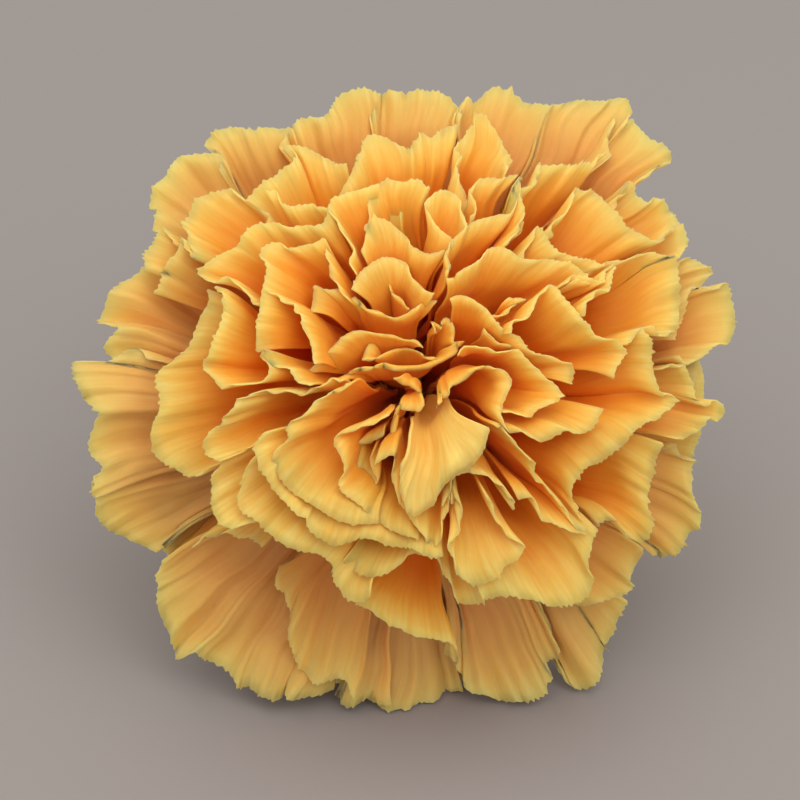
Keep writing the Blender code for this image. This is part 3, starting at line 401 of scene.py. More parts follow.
        (360, 600), (372, 603), (383, 612), (395, 623), (410, 630), (420, 638), (436, 640), (450, 643),
        (459, 655))),
)
print("margins read:", len(PETAL_RIMS))

# %% [markdown]
# ## From the picture to the bloom
#
# A picture point is only a line of sight. The margins get their depth from the bloom's own
# shape: they end on a dome, 36 mm over the throat at its top, or on the skirt of spreading
# petals, which sags on its low side. Each line of sight is followed down to that surface, so
# the margins are right from the camera and make a full, round bloom from any other side.

# %% The view and the bloom's shape
VIEW_TURN = math.radians(-4.0)
VIEW_RISE = math.radians(38.0)
VIEW_AWAY = 600.0
VIEW_MIDDLE = np.array((-0.93, -2.10, 28.74)) + CENTRE_SHIFT
POINTS_ACROSS = 800
MM_PER_POINT = 0.115
TOWARD_EYE = np.array((math.sin(VIEW_TURN) * math.cos(VIEW_RISE),
                       -math.cos(VIEW_TURN) * math.cos(VIEW_RISE), math.sin(VIEW_RISE)))
DOME_TOP = 36.0
DOME_DROP = 0.016
SKIRT_HEIGHT = 13.0
SKIRT_SAG = 18.0
SKIRT_RADIUS = 38.0
SKIRT_SLOPE = 0.25
GUARDS = 9
GUARD_RADIUS = 32.0
GUARD_RADIUS_SHIFT = 2.0
GUARD_HALF_ANGLE = math.radians(29.0)
GUARD_POINTS = 15
GUARD_LIFT = -4.3
GUARD_WAVES = ((5, 0.9), (13, 0.6))
GUARD_ROLL = 0.7
GUARD_SEED = 800
LOW_SIDE_FROM = 0.1
LOW_SIDE_SPAN = 1.1
SIGHT_STEPS = 60
SIGHT_EASE = 0.4


def rim_height(x, y, spread, lift):
    """Height of the petals' margins over the throat; the skirt sags on its low side, -Y."""
    radius = np.hypot(x, y)
    dome = DOME_TOP - DOME_DROP * radius ** 2
    low_side = smooth((LOW_SIDE_FROM - y / np.maximum(radius, 1.0)) / LOW_SIDE_SPAN)
    skirt = SKIRT_HEIGHT - SKIRT_SAG * low_side + SKIRT_SLOPE * (SKIRT_RADIUS - radius)
    return lerp(dome, skirt, spread) + lift


def rim_on_bloom(points, spread, lift):
    """Follow the lines of sight through a margin's points down to the dome or skirt."""
    points = np.array(points, dtype=float)
    right = np.array((math.cos(VIEW_TURN), math.sin(VIEW_TURN), 0.0))
    up = np.cross(TOWARD_EYE, right)
    middle = POINTS_ACROSS / 2
    seen = (VIEW_MIDDLE + MM_PER_POINT * (np.outer(points[:, 0] - middle, right)
                                          + np.outer(middle - points[:, 1], up)))
    eye = np.broadcast_to(VIEW_MIDDLE + VIEW_AWAY * TOWARD_EYE, seen.shape)
    start = stand_up(eye)
    ray = stand_up(seen) - start
    height = np.full(len(points), DOME_TOP / 2)
    for _ in range(SIGHT_STEPS):
        place = start + ray * ((height - start[:, 2]) / ray[:, 2])[:, None]
        height = lerp(height, rim_height(place[:, 0], place[:, 1], spread, lift), SIGHT_EASE)
    return start + ray * ((height - start[:, 2]) / ray[:, 2])[:, None]


def guard_rim(index):
    """Margin of a guard petal under the skirt: an arc with seeded waves."""
    rng = random.Random(GUARD_SEED + index)
    middle = 2 * math.pi * (index + 0.5) / GUARDS
    angle = middle + np.linspace(-GUARD_HALF_ANGLE, GUARD_HALF_ANGLE, GUARD_POINTS)
    waves = sum(size * np.sin(count * angle + rng.uniform(0, 2 * math.pi))
                for count, size in GUARD_WAVES)
    radius = GUARD_RADIUS + waves + GUARD_RADIUS_SHIFT * np.sin(angle)
    x, y = radius * np.cos(angle), radius * np.sin(angle)
    height = rim_height(x, y, 1.0, GUARD_LIFT) + GUARD_ROLL * waves[::-1]
    return np.stack([x, y, height], -1)


# %% [markdown]
# ## One petal
#
# A carnation petal is a fan: a narrow claw deep in the calyx opens into a broad blade. Its
# folds are tightest at the margin and fade toward the claw, so the margin's line is rounded
# more and more on the way down. All petals follow the same path up and outward, which keeps
# each one between its neighbours, as they grew in the bud. A gentle waving, shared by all of
# them, takes the straightness out of the fans.

# %% Petal surface
# A pair gives the value on the dome and the value on the skirt. Lengths are millimetres.
ROOT_RADIUS = (1.0, 3.2)
RUN_POWER = (1.5, 1.1)
CLAW_RISE = 7.0
CLAW_POWER = 6
BOW_SHARE = 0.6
SHARP = 0.45
SOFT = 3.0
SOFT_POWER = 2.5
LINE_STEP = 0.2
CREST = 0.8
CREST_POWER = 4
# Each of the slow waves: radians a millimetre, size in millimetres, and seed.
WAVES = ((0.5, 0.8, 5), (0.95, 0.45, 9), (2.0, 0.14, 4))
WAVES_OF_EACH = 5
ANY_PHASE = (0, 6.28)


def distance_along(line):
    steps = np.linalg.norm(np.diff(line, axis=0), axis=1)
    return np.concatenate([[0.0], np.cumsum(steps)])


def softened(line, at, reach):
    """Places along a line with its corners rounded over a reach, at distances along it."""
    along = distance_along(line)
    fine = np.linspace(0, along[-1], int(along[-1] / LINE_STEP) + 2)
    dense = np.stack([np.interp(fine, along, line[:, k]) for k in range(3)], -1)
    near = np.exp(-0.5 * ((at[:, None] - fine[None, :]) / reach) ** 2)
    return near @ dense / near.sum(1)[:, None]


def petal_surface(rim, at, shares, spread, bow):
    """Rows of points of a petal from claw to rim; shares past 1 reach into the teeth."""
    sharp = softened(rim, at, SHARP)
    soft = softened(rim, at, SOFT)
    middle = sharp[:, :2].mean(0)
    root = middle / max(np.linalg.norm(middle), 1.0) * lerp(*ROOT_RADIUS, spread)
    share = shares[:, :, None]
    end = lerp(soft, sharp, np.minimum(share, 1.0) ** SOFT_POWER)
    flat = root + (end[:, :, :2] - root) * share ** lerp(*RUN_POWER, spread)
    inward = np.maximum(1 - share, 0.0)
    claw = CLAW_RISE * (1 - inward ** CLAW_POWER)
    height = claw + (end[:, :, 2:] - CLAW_RISE) * (1 - inward ** (1 + BOW_SHARE * bow))
    height = height + CREST * np.sin(math.pi * np.minimum(share, 1.0) ** CREST_POWER)
    return np.concatenate([flat, height], -1)


def waved(points):
    """Move points by slow waves that run through the whole bloom."""
    moved = points.copy()
    for closeness, size, seed in WAVES:
        rng = np.random.RandomState(seed)
        for _ in range(WAVES_OF_EACH):
            run = rng.normal(size=3)
            swing = rng.normal(size=3)
            run *= closeness / np.linalg.norm(run)
            swing *= size / 2 / np.linalg.norm(swing)
            moved += np.sin(moved @ run + rng.uniform(*ANY_PHASE))[..., None] * swing
    return moved


# %% [markdown]
# ## The toothed margin
#
# The pinked edge is what tells a carnation from a rose. Teeth are 0.6 to 0.9 mm apart, uneven,
# with a deeper cut here and there. The grid of a petal gets one line of points to each tooth
# tip and one to each valley, and only its last rows are pulled out into the teeth. Close to
# the margin the spreading petals are also finely crimped, as if pressed in the bud.

# %% Grow one petal
ROWS = 22
ROW_CROWDING = 0.85
FIRST_SHARE = 0.1
TOOTH_PITCH = 0.72
TOOTH_SPACING = (0.55, 1.45)
TOOTH_HEIGHT = 0.34
TOOTH_POWER = 12
TIP = (0.15, 1)
VALLEY = (0, 0.15)
DEEP_CUTS = 0.08
DEEP_CUT = (0.6, 1.4)
# Each fold: radians a millimetre of margin, size on the dome and on the skirt, and how
# steeply it grows toward the margin. The last three frill the margin only.
FOLDS = ((0.35, 0.25, 0.6, 1.5), (0.8, 0.1, 0.42, 1.5), (2.2, 0.0, 0.16, 1.5), (4.1, 0.0, 0.08, 1.5),
         (1.1, 0.26, 0.4, 7), (1.9, 0.2, 0.26, 10), (3.3, 0.09, 0.12, 14))
FOLD_CHANGE = (0.8, 1.2)
FOLD_DRIFT = 1.5
PETAL_SEED = 500
THIN_RIM = 0.55
THIN_REACH = 2.5
# Painted light: a petal that bows up faces the light and is painted paler, and so are the listed
# petals that face the light: their pigment deepens by this share of its usual pace.
PAINTED_LIGHT_BOW = 0.25
PAINTED_LIGHT_FACES = {"low_bright": 0.2, "low_tongue": 0.55, "low_arch": 0.55, "low_right_rim": 0.6,
              "right_sail": 0.75, "hood": 0.6, "left_beak": 0.5, "low_left_lobe": 0.4,
              "low_left_rim": 0.55, "low_mid_rim": 0.6, "low_inner_rim": 0.7, "low_leaf": 0.75}


def folds(at, shares, spread, rng):
    """Offset of the blade in mm: lengthwise folds, finer on the skirt, and a frilled margin."""
    off = np.zeros_like(shares)
    for waves, dome_size, skirt_size, rise in FOLDS:
        size = lerp(dome_size, skirt_size, spread)
        drift = rng.uniform(-FOLD_DRIFT, FOLD_DRIFT) * shares
        phase = waves * rng.uniform(*FOLD_CHANGE) * at + drift + rng.uniform(*ANY_PHASE)
        off += size * np.sin(phase) * shares ** rise
    return off


# face: the pace of pigment toward the claw; below 1 it paints the petal's face paler, as painted light.
def grow_petal(name, rim, spread, bow, seed, face=1.0):
    """One petal: a grid primitive whose points are moved into a folded, toothed fan."""
    rng = random.Random(seed)
    length = distance_along(rim)[-1]
    teeth = max(4, int(length / TOOTH_PITCH))
    at = np.cumsum([0.0] + [rng.uniform(*TOOTH_SPACING) for _ in range(2 * teeth)])
    at *= length / at[-1]
    tips = np.array([rng.uniform(*(TIP if k % 2 else VALLEY)) for k in range(len(at))])
    tips *= [1 + (rng.random() < DEEP_CUTS) * rng.uniform(*DEEP_CUT) for _ in at]
    along = FIRST_SHARE + (1 - FIRST_SHARE) * np.linspace(0, 1, ROWS + 1) ** ROW_CROWDING
    _, shares = np.meshgrid(at, along)
    reach = float(np.linalg.norm(rim.mean(0)))
    toothed = shares + shares ** TOOTH_POWER * tips * TOOTH_HEIGHT / reach
    points = petal_surface(rim, at, toothed, spread, bow)
    across = np.gradient(points[-1], axis=0)
    outward = points[-1] - points[-4]
    side = np.cross(across, outward)
    side /= np.maximum(np.linalg.norm(side, axis=1), 1e-6)[:, None]
    points = points + folds(at, shares, spread, rng)[:, :, None] * side
    points = waved(points)

    deselect_all()
    bpy.ops.mesh.primitive_grid_add(x_subdivisions=len(at) - 1, y_subdivisions=ROWS, size=2)
    piece = named(name)
    set_places(piece, lay_down(points.reshape(-1, 3), bend=True) * MM)
    # Painted light: petals that bow up, and the listed lit petals, get a shallower pigment depth, so
    # their faces are painted paler.
    margin_depth_and_painted_light = ((1 - shares) * reach * (1 - PAINTED_LIGHT_BOW * bow) * face).ravel()
    for label, values in (("margin_depth_and_painted_light", margin_depth_and_painted_light),
                          ("spread", np.full(len(margin_depth_and_painted_light), spread))):
        tag = piece.data.attributes.new(label, "FLOAT", "POINT")
        tag.data.foreach_set("value", values.astype(np.float32))
    corners = np.empty(len(piece.data.loops), dtype=np.int32)
    piece.data.loops.foreach_get("vertex_index", corners)
    fan = np.stack([np.broadcast_to(at, shares.shape), shares * reach], -1).reshape(-1, 2)
    uv = piece.data.uv_layers.active.data
    uv.foreach_set("uv", fan[corners].astype(np.float32).ravel())
    thin = piece.vertex_groups.new(name="thin")
    weights = 1 - THIN_RIM * np.exp(-(1 - along) * reach / THIN_REACH)
    for row, weight in enumerate(weights):
        thin.add(list(range(row * len(at), (row + 1) * len(at))), float(weight), "REPLACE")
    return piece


# %% [markdown]
# ## Thickness
#
# A petal is about a quarter of a millimetre thick and thinner at its margin. Solidify gives
# the sheet that thickness. It reads a vertex group, so that the wall thins toward the edge
# and the light that comes through it there makes the rims glow.

# %% Grow all petals
PETAL_THICK = 0.28
petals = []
# Petals listed as lit faces get painted light: their pigment is made paler.
for index, (name, spread, bow, lift, points) in enumerate(PETAL_RIMS):
    rim = rim_on_bloom(points, spread, lift)
    petals.append(grow_petal("petal_" + name, rim, spread, bow, PETAL_SEED + index,
                             PAINTED_LIGHT_FACES.get(name, 1.0)))
for index in range(GUARDS):
    rim = guard_rim(index)
    petals.append(grow_petal("petal_guard_%d" % (index + 1), rim, 1.0, 0.0, GUARD_SEED + index))
for piece in petals:
    apply_modifier(piece, "SOLIDIFY", thickness=PETAL_THICK * MM, offset=0.0,
                   vertex_group="thin", thickness_vertex_group=0.0, use_rim=True)
    deselect_all()
    piece.select_set(True)
    bpy.ops.object.shade_smooth()
print("petals:", len(petals), "faces:", sum(len(p.data.polygons) for p in petals))

# %% [markdown]
# ## The claws
#
# Below the face every petal narrows to a claw, and the claws fill the calyx as a tight bundle.
# It shows only from the side and from below, so one ribbed piece is enough, with a rib for
# each of the outer claws. It is extruded ring by ring from a circle, as on a lathe, and the
# same helper makes the calyx and the stem.

# %% Grow the claws
CLAWS = ((3.0, -22.0), (4.4, -16.0), (4.7, -8.0), (4.8, -1.0), (5.2, 1.2), (6.3, 3.0), (7.6, 4.6),
         (8.2, 6.6), (7.0, 9.0), (4.0, 11.0), (0.6, 12.0))
CLAW_RIBS = 22
POINTS_PER_RIB = 8
RIB = 0.22
RIBS_FROM = -20
RIBS_FADE = 20
INSET_SHARE = 1.4
ON_THE_RING = 0.97


def extrude_ring(radius, height):
    """Extrude the selected ring of edges, and put the new ring at a radius and height."""
    bpy.ops.mesh.extrude_region_move()
    mesh = bpy.context.object
    mesh.update_from_editmode()
    ring = np.array([v.co for v in mesh.data.vertices if v.select])
    now_radius = np.linalg.norm(ring[:, :2], axis=1).mean() / MM
    now_height = ring[:, 2].mean() / MM
    bpy.ops.transform.translate(value=(0, 0, (height - now_height) * MM))
    share = radius / now_radius
    bpy.ops.transform.resize(value=(share, share, 1), center_override=(0, 0, height * MM))


def raise_rings(name, rings, sides, insets=0):
    """A closed foot, inset a few times, with rings of a radius and height extruded from it."""
    foot_radius, foot_height = rings[0]
    deselect_all()
    bpy.ops.mesh.primitive_circle_add(vertices=sides, radius=foot_radius * MM,
                                      location=(0, 0, foot_height * MM), fill_type="NGON")
    piece = named(name)
    bpy.ops.object.transform_apply(location=True, rotation=True, scale=True)
    bpy.ops.object.mode_set(mode="EDIT")
    bpy.ops.mesh.select_all(action="SELECT")
    for _ in range(insets):
        bpy.ops.mesh.inset(thickness=foot_radius * MM / (insets + INSET_SHARE))
    bpy.ops.mesh.select_all(action="DESELECT")
    bpy.ops.object.mode_set(mode="OBJECT")
    for edge in piece.data.edges:
        ends = [piece.data.vertices[k].co for k in edge.vertices]
        edge.select = all(math.hypot(c.x, c.y) > ON_THE_RING * foot_radius * MM for c in ends)
    bpy.ops.object.mode_set(mode="EDIT")
    bpy.ops.mesh.select_mode(type="EDGE")
    for radius, height in rings[1:]:
        extrude_ring(radius, height)
    bpy.ops.object.mode_set(mode="OBJECT")
    return piece


def close_top(piece):
    """Fill the last ring, which is still selected, and turn all faces outward."""
    bpy.ops.object.mode_set(mode="EDIT")
    bpy.ops.mesh.edge_face_add()
    bpy.ops.mesh.select_all(action="SELECT")
    bpy.ops.mesh.normals_make_consistent(inside=False)
    bpy.ops.object.mode_set(mode="OBJECT")


def push_out(piece, amount):
    """Move points away from the flower's axis; amount gives mm from angle and height."""
    points = places(piece) / MM
    radius = np.hypot(points[:, 0], points[:, 1])
    angle = np.arctan2(points[:, 1], points[:, 0])
    share = 1 + amount(angle, points[:, 2]) / np.maximum(radius, 0.01)
    points[:, :2] *= np.where(radius > 1.0, share, 1.0)[:, None]
    set_places(piece, points * MM)


def tilt_to_rest(piece):
    """From the upright flower frame to the place where the flower lies."""
    set_places(piece, lay_down(places(piece) / MM) * MM)


def claw_relief(angle, height):
    return RIB * np.cos(CLAW_RIBS * angle) * smooth((height - RIBS_FROM) / RIBS_FADE)


claws = raise_rings("claws", CLAWS, POINTS_PER_RIB * CLAW_RIBS)
close_top(claws)
push_out(claws, claw_relief)
bpy.ops.object.shade_smooth()
tilt_to_rest(claws)
print("claws faces:", len(claws.data.polygons))

# %% [markdown]
# ## The calyx
#
# Under the petals a carnation has a green tube, the calyx, with five pointed teeth that hold
# the petals together, and two pairs of broad bracts that clasp its base. Its teeth come from
# lifting parts of the last rings, and its many fine nerves from pushing its points out by a
# wave round the tube. Solidify then gives the tube its wall.

# %% Grow the calyx tube
CALYX_RINGS = ((2.6, -28.6), (3.6, -28.4), (4.9, -27.2), (5.8, -23.0), (6.2, -19.5), (6.4, -16.0),
               (6.5, -12.5), (6.5, -9.0), (6.35, -6.5), (6.2, -4.5), (6.1, -2.6))
CALYX_SIDES = 210
CALYX_TEETH = 5
TOOTH_RINGS = 6
TOOTH_RING_STEP = 0.1
TOOTH_RING_WIDENS = 0.02
TOOTH_RISE = 2.8
TOOTH_POINTED = 1.15
TOOTH_FLARE = 1.2
FLARE_POWER = 1.5
NOTCH_DROP = 0.5
NERVES = 35
NERVE = 0.09
NERVES_FROM = -28.4
NERVES_FADE = 3
CALYX_WALL = 0.6

MOUTH_RADIUS, TOOTH_BASE = CALYX_RINGS[-1]
tooth_rings = tuple((MOUTH_RADIUS + TOOTH_RING_WIDENS * k, TOOTH_BASE + TOOTH_RING_STEP * k)
                    for k in range(1, TOOTH_RINGS + 1))
calyx_tube = raise_rings("calyx_tube", CALYX_RINGS + tooth_rings, CALYX_SIDES)


def tooth_share(angle, height):
    """How far up its tooth a point is: 0 in the notches and on the tube, 1 at a tip."""
    peak = 1 - np.abs((angle / (2 * math.pi) * CALYX_TEETH) % 1 * 2 - 1)
    rise = np.clip((height - TOOTH_BASE) / (TOOTH_RINGS * TOOTH_RING_STEP), 0, 1)
    return rise, peak ** TOOTH_POINTED


def calyx_relief(angle, height):
    rise, peak = tooth_share(angle, height)
    nerves = NERVE * np.cos(NERVES * angle) * smooth((height - NERVES_FROM) / NERVES_FADE)
    return nerves + rise ** FLARE_POWER * peak * TOOTH_FLARE


push_out(calyx_tube, calyx_relief)
tube = places(calyx_tube) / MM
rise, peak = tooth_share(np.arctan2(tube[:, 1], tube[:, 0]), tube[:, 2])
tube[:, 2] += rise * (peak * TOOTH_RISE - (1 - peak) * NOTCH_DROP)
set_places(calyx_tube, tube * MM)
apply_modifier(calyx_tube, "SOLIDIFY", thickness=CALYX_WALL * MM, offset=-1.0, use_rim=True)
bpy.ops.object.mode_set(mode="EDIT")
bpy.ops.mesh.select_all(action="SELECT")
bpy.ops.mesh.normals_make_consistent(inside=False)
bpy.ops.object.mode_set(mode="OBJECT")
bpy.ops.object.shade_smooth()
tilt_to_rest(calyx_tube)
print("calyx tube faces:", len(calyx_tube.data.polygons))

# %% [markdown]
# ## The bracts
#
# The bracts are short, broad and pointed, like scales, and hug the tube so closely that their
# shape is the tube's own. A grid is narrowed to a point and wrapped round the tube, then given
# a thickness.

# %% Grow the bracts
BRACTS = 4
BRACT_GRID = (28, 30)
BRACT_TURN = 0.3
BRACT_ROOT = 0.5
BRACT_LENGTH = 9.5
BRACT_OUTER_LENGTH = 0.86
BRACT_HALF_WIDTH = 3.6
BRACT_TIP_HALF_WIDTH = 0.04
BRACT_BLUNT = 0.9
BRACT_THICK = 0.45
BRACT_CLEAR = 0.35
BRACT_LAP = 0.2
BRACT_LEAN = 0.25
BRACT_TIP_FROM = 0.78
BRACT_TIP_FLARE = 0.5
BRACT_NERVE = 0.05
BRACT_NERVES = 34
CALYX_OUTLINE = ((3.3, -28.6), (4.9, -27.2), (5.8, -23.0), (6.4, -16.0), (6.5, -9.0))


def grow_bract(number):
    deselect_all()
    bpy.ops.mesh.primitive_grid_add(x_subdivisions=BRACT_GRID[0], y_subdivisions=BRACT_GRID[1],
                                    size=2)
    piece = named("bract_%d" % (number + 1))
    flat = places(piece)
    u = flat[:, 0]
    share = (flat[:, 1] + 1) / 2
    outer = number % 2
    length = BRACT_LENGTH * lerp(1, BRACT_OUTER_LENGTH, outer)
    height = CALYX_OUTLINE[0][1] + BRACT_ROOT + share * length
    radius = np.interp(height, [p[1] for p in CALYX_OUTLINE], [p[0] for p in CALYX_OUTLINE])
    tip = np.clip((share - BRACT_TIP_FROM) / (1 - BRACT_TIP_FROM), 0, 1)
    radius = radius + BRACT_CLEAR + BRACT_LAP * outer + BRACT_LEAN * share + BRACT_TIP_FLARE * tip ** 2
    radius = radius + BRACT_NERVE * np.cos(u * BRACT_NERVES) * (1 - share)
    half = BRACT_HALF_WIDTH * (1 - share ** 2.0) ** BRACT_BLUNT + BRACT_TIP_HALF_WIDTH
    angle = number * 2 * math.pi / BRACTS + BRACT_TURN + u * half / radius
    points = np.stack([radius * np.cos(angle), radius * np.sin(angle), height], -1)
    set_places(piece, points * MM)
    apply_modifier(piece, "SOLIDIFY", thickness=BRACT_THICK * MM, offset=0.0, use_rim=True)
    bpy.ops.object.shade_smooth()
    tilt_to_rest(piece)
    return piece


bracts = [grow_bract(number) for number in range(BRACTS)]
print("bracts:", len(bracts))

# %% [markdown]
# ## The stem stub
#
# The stem was cut a little below the calyx. It swells where the bracts sit on it, and its cut
# end is flat, with an edge that is hardly rounded, since a blade made it.

# %% Make the stem stub
STEM_RINGS = ((1.75, -30.5), (2.02, -30.42), (STEM_RADIUS, -30.2), (STEM_RADIUS, -29.4),
              (2.3, -28.8), (2.5, -28.2), (2.0, -27.0))
STEM_SIDES = 48
SHARP_EDGE = math.radians(35)
stem = raise_rings("stem_stub", STEM_RINGS, STEM_SIDES, insets=3)
close_top(stem)
bpy.ops.object.shade_smooth_by_angle(angle=SHARP_EDGE)
tilt_to_rest(stem)
print("stem faces:", len(stem.data.polygons))

# %% [markdown]
# ## Materials by nodes
#
# Colours are written as the hex values a painter reads from the flower and turned to linear
# light once. One helper adds a node, with its settings and its links.

# %% Node helpers
def srgb(text):
    """A #RRGGBB colour as linear red, green, blue and a full alpha."""
    parts = [int(text[k:k + 2], 16) / 255 for k in (1, 3, 5)]
    linear = [c / 12.92 if c <= 0.04045 else ((c + 0.055) / 1.055) ** 2.4 for c in parts]
    return (*linear, 1.0)


def add_node(tree, kind, inputs=None, ramp=None, **settings):
    """A node of a kind, with its settings, and its inputs set to values or linked to outputs."""
    node = tree.nodes.new(kind)
    for key, value in settings.items():
        setattr(node, key, value)
    for key, value in (inputs or {}).items():
        if isinstance(value, bpy.types.NodeSocket):
            tree.links.new(value, node.inputs[key])
        else:
            node.inputs[key].default_value = value
    if ramp:
        stops = node.color_ramp.elements
        while len(stops) < len(ramp):
            stops.new(1.0)
        for stop, (place, colour) in zip(stops, ramp):
            stop.position = place
            stop.color = colour
    return node


def new_material(name):
    material = bpy.data.materials.new(name)
    material.use_nodes = True
    tree = material.node_tree
    return material, tree, tree.nodes["Principled BSDF"]


def set_shader(shader, values):
    """Set what is even all over a material on the shader's own sockets."""
    for socket, value in values.items():
        shader.inputs[socket].default_value = value


# %% [markdown]
# ## Petal tissue
#
# A petal is a thin, wet, matt tissue. Its face is covered by tiny domed cells, papillae, that
# scatter light to all sides: no gloss, and a soft glow at grazing angles, which sheen gives.
# Light goes through it, so it has subsurface scattering. Its pigment is strongest toward the
# claw and fades to a pale rim. Veins fan out from the claw and show as fine darker lines and
# shallow furrows. Real papillae are 0.03 mm wide and don't show at this distance, so the
# finest pattern here is the furrows, about 0.4 mm apart. They and the streaks follow the
# petal's own map, which is a fan in millimetres. The soft blotches are about 6 mm wide.

# %% The petal material
PETAL_RAMP = ((0.0, "#F4C66E"), (0.05, "#F1B554"), (0.13, "#EE9E34"), (0.3, "#E8821A"),
              (0.6, "#DE640C"), (0.95, "#D04E04"))
RAMP_LENGTH = 21.0
PALE_SKIRT = "#E2BE74"
PALE_VEIN = "#F4DDB0"
BLOTCHES_A_METRE = 160.0
STREAKS_A_MM = (1.6, 0.14, 1.0)
STREAK_SHIFT = 3.0
FURROWS_A_MM = (2.6, 0.10, 1.0)
FURROW_DEPTH = 0.12


def petal_material():
    material, tree, shader = new_material("petal_tissue")
    # This depth carries painted light as well as pigment: lit petals come with a shallower depth and a
    # paler colour.
    margin_tag = add_node(tree, "ShaderNodeAttribute", attribute_name="margin_depth_and_painted_light")
    spread_tag = add_node(tree, "ShaderNodeAttribute", attribute_name="spread")
    fan = add_node(tree, "ShaderNodeUVMap", uv_map="UVMap")
    place = add_node(tree, "ShaderNodeTexCoord")
    blotches = add_node(tree, "ShaderNodeTexNoise",
                        inputs={"Vector": place.outputs["Object"], "Scale": BLOTCHES_A_METRE,
                                "Detail": 3.0})
    streaks_at = add_node(tree, "ShaderNodeMapping",
                          inputs={"Vector": fan.outputs["UV"], "Scale": STREAKS_A_MM})
    streaks = add_node(tree, "ShaderNodeTexNoise",
                       inputs={"Vector": streaks_at.outputs["Vector"], "Scale": 1.0, "Detail": 4.0,
                               "Roughness": 0.62})
    uneven = add_node(tree, "ShaderNodeMath", operation="MULTIPLY_ADD",
                      inputs={0: streaks.outputs["Fac"], 1: STREAK_SHIFT,
                              2: -STREAK_SHIFT / 2})
    inward = add_node(tree, "ShaderNodeMath", operation="ADD",
                      inputs={0: margin_tag.outputs["Fac"], 1: uneven.outputs["Value"]})
    depth = add_node(tree, "ShaderNodeMath", operation="DIVIDE",
                     inputs={0: inward.outputs["Value"], 1: RAMP_LENGTH})
    pigment = add_node(tree, "ShaderNodeValToRGB", inputs={"Fac": depth.outputs["Value"]},
                       ramp=[(stop, srgb(colour)) for stop, colour in PETAL_RAMP])
    guard = add_node(tree, "ShaderNodeMapRange",
                     inputs={"Value": spread_tag.outputs["Fac"], "From Min": 0.3, "From Max": 1.0,
                             "To Min": 0.0, "To Max": 0.62})
    paler = add_node(tree, "ShaderNodeMix", data_type="RGBA",
                     inputs={"Factor": guard.outputs["Result"], 6: pigment.outputs["Color"],
                             7: srgb(PALE_SKIRT)})
    shade = add_node(tree, "ShaderNodeMapRange",
                     inputs={"Value": streaks.outputs["Fac"], "From Min": 0.4, "From Max": 0.75,
                             "To Min": 0.0, "To Max": 0.2})
    veined = add_node(tree, "ShaderNodeMix", data_type="RGBA", blend_type="MULTIPLY",
                      inputs={"Factor": shade.outputs["Result"], 6: paler.outputs[2],
                              7: srgb(PALE_VEIN)})
    mottle = add_node(tree, "ShaderNodeMix", data_type="RGBA", blend_type="OVERLAY",
                      inputs={"Factor": 0.12, 6: veined.outputs[2],
                              7: blotches.outputs["Fac"]})
    furrows_at = add_node(tree, "ShaderNodeMapping",
                          inputs={"Vector": fan.outputs["UV"], "Scale": FURROWS_A_MM})
    furrows = add_node(tree, "ShaderNodeTexNoise",
                       inputs={"Vector": furrows_at.outputs["Vector"], "Scale": 1.0, "Detail": 3.0})
    depth_of_furrows = add_node(tree, "ShaderNodeMapRange",
                                inputs={"Value": spread_tag.outputs["Fac"], "From Min": 0.2,
                                        "From Max": 0.9, "To Min": 0.06, "To Max": 0.4})
    relief = add_node(tree, "ShaderNodeBump",
                      inputs={"Height": furrows.outputs["Fac"],
                              "Strength": depth_of_furrows.outputs["Result"],
                              "Distance": FURROW_DEPTH * MM})
    tree.links.new(mottle.outputs[2], shader.inputs["Base Color"])
    tree.links.new(relief.outputs["Normal"], shader.inputs["Normal"])
    set_shader(shader, {"Roughness": 0.6, "IOR": 1.4, "Specular IOR Level": 0.3,
                        "Subsurface Weight": 0.9, "Subsurface Radius": (1.0, 0.8, 0.5),
                        "Subsurface Scale": 1.0 * MM, "Sheen Weight": 0.05,
                        "Sheen Roughness": 0.5, "Sheen Tint": srgb("#FFE9BE")})
    return material


petal_tissue = petal_material()

# %% [markdown]
# ## Claw tissue
#
# A claw is firmer than the blade and holds little pigment, since no light reaches it in the
# calyx: pale yellow all over, half matt, with some light going through.

# %% The claw material
claw_tissue, _, claw_shader = new_material("claw_tissue")
set_shader(claw_shader, {"Base Color": srgb("#DDBB66"), "Roughness": 0.55,
                         "Subsurface Weight": 0.3, "Subsurface Radius": (1.0, 0.9, 0.5),
                         "Subsurface Scale": 0.8 * MM})

# %% [markdown]
# ## Green tissue
#
# Calyx, bracts and stem are firm green tissue under a thin bluish wax bloom. The wax makes
# them half matt and lighter where light grazes them. Fine nerves run lengthwise, about a
# millimetre apart, and a finer speckle of the same size breaks up the wax.

# %% The calyx and stem materials
SPECKLES_A_METRE = 900.0
ALONG_THE_STEM = 0.08
GREEN_RELIEF = 0.08


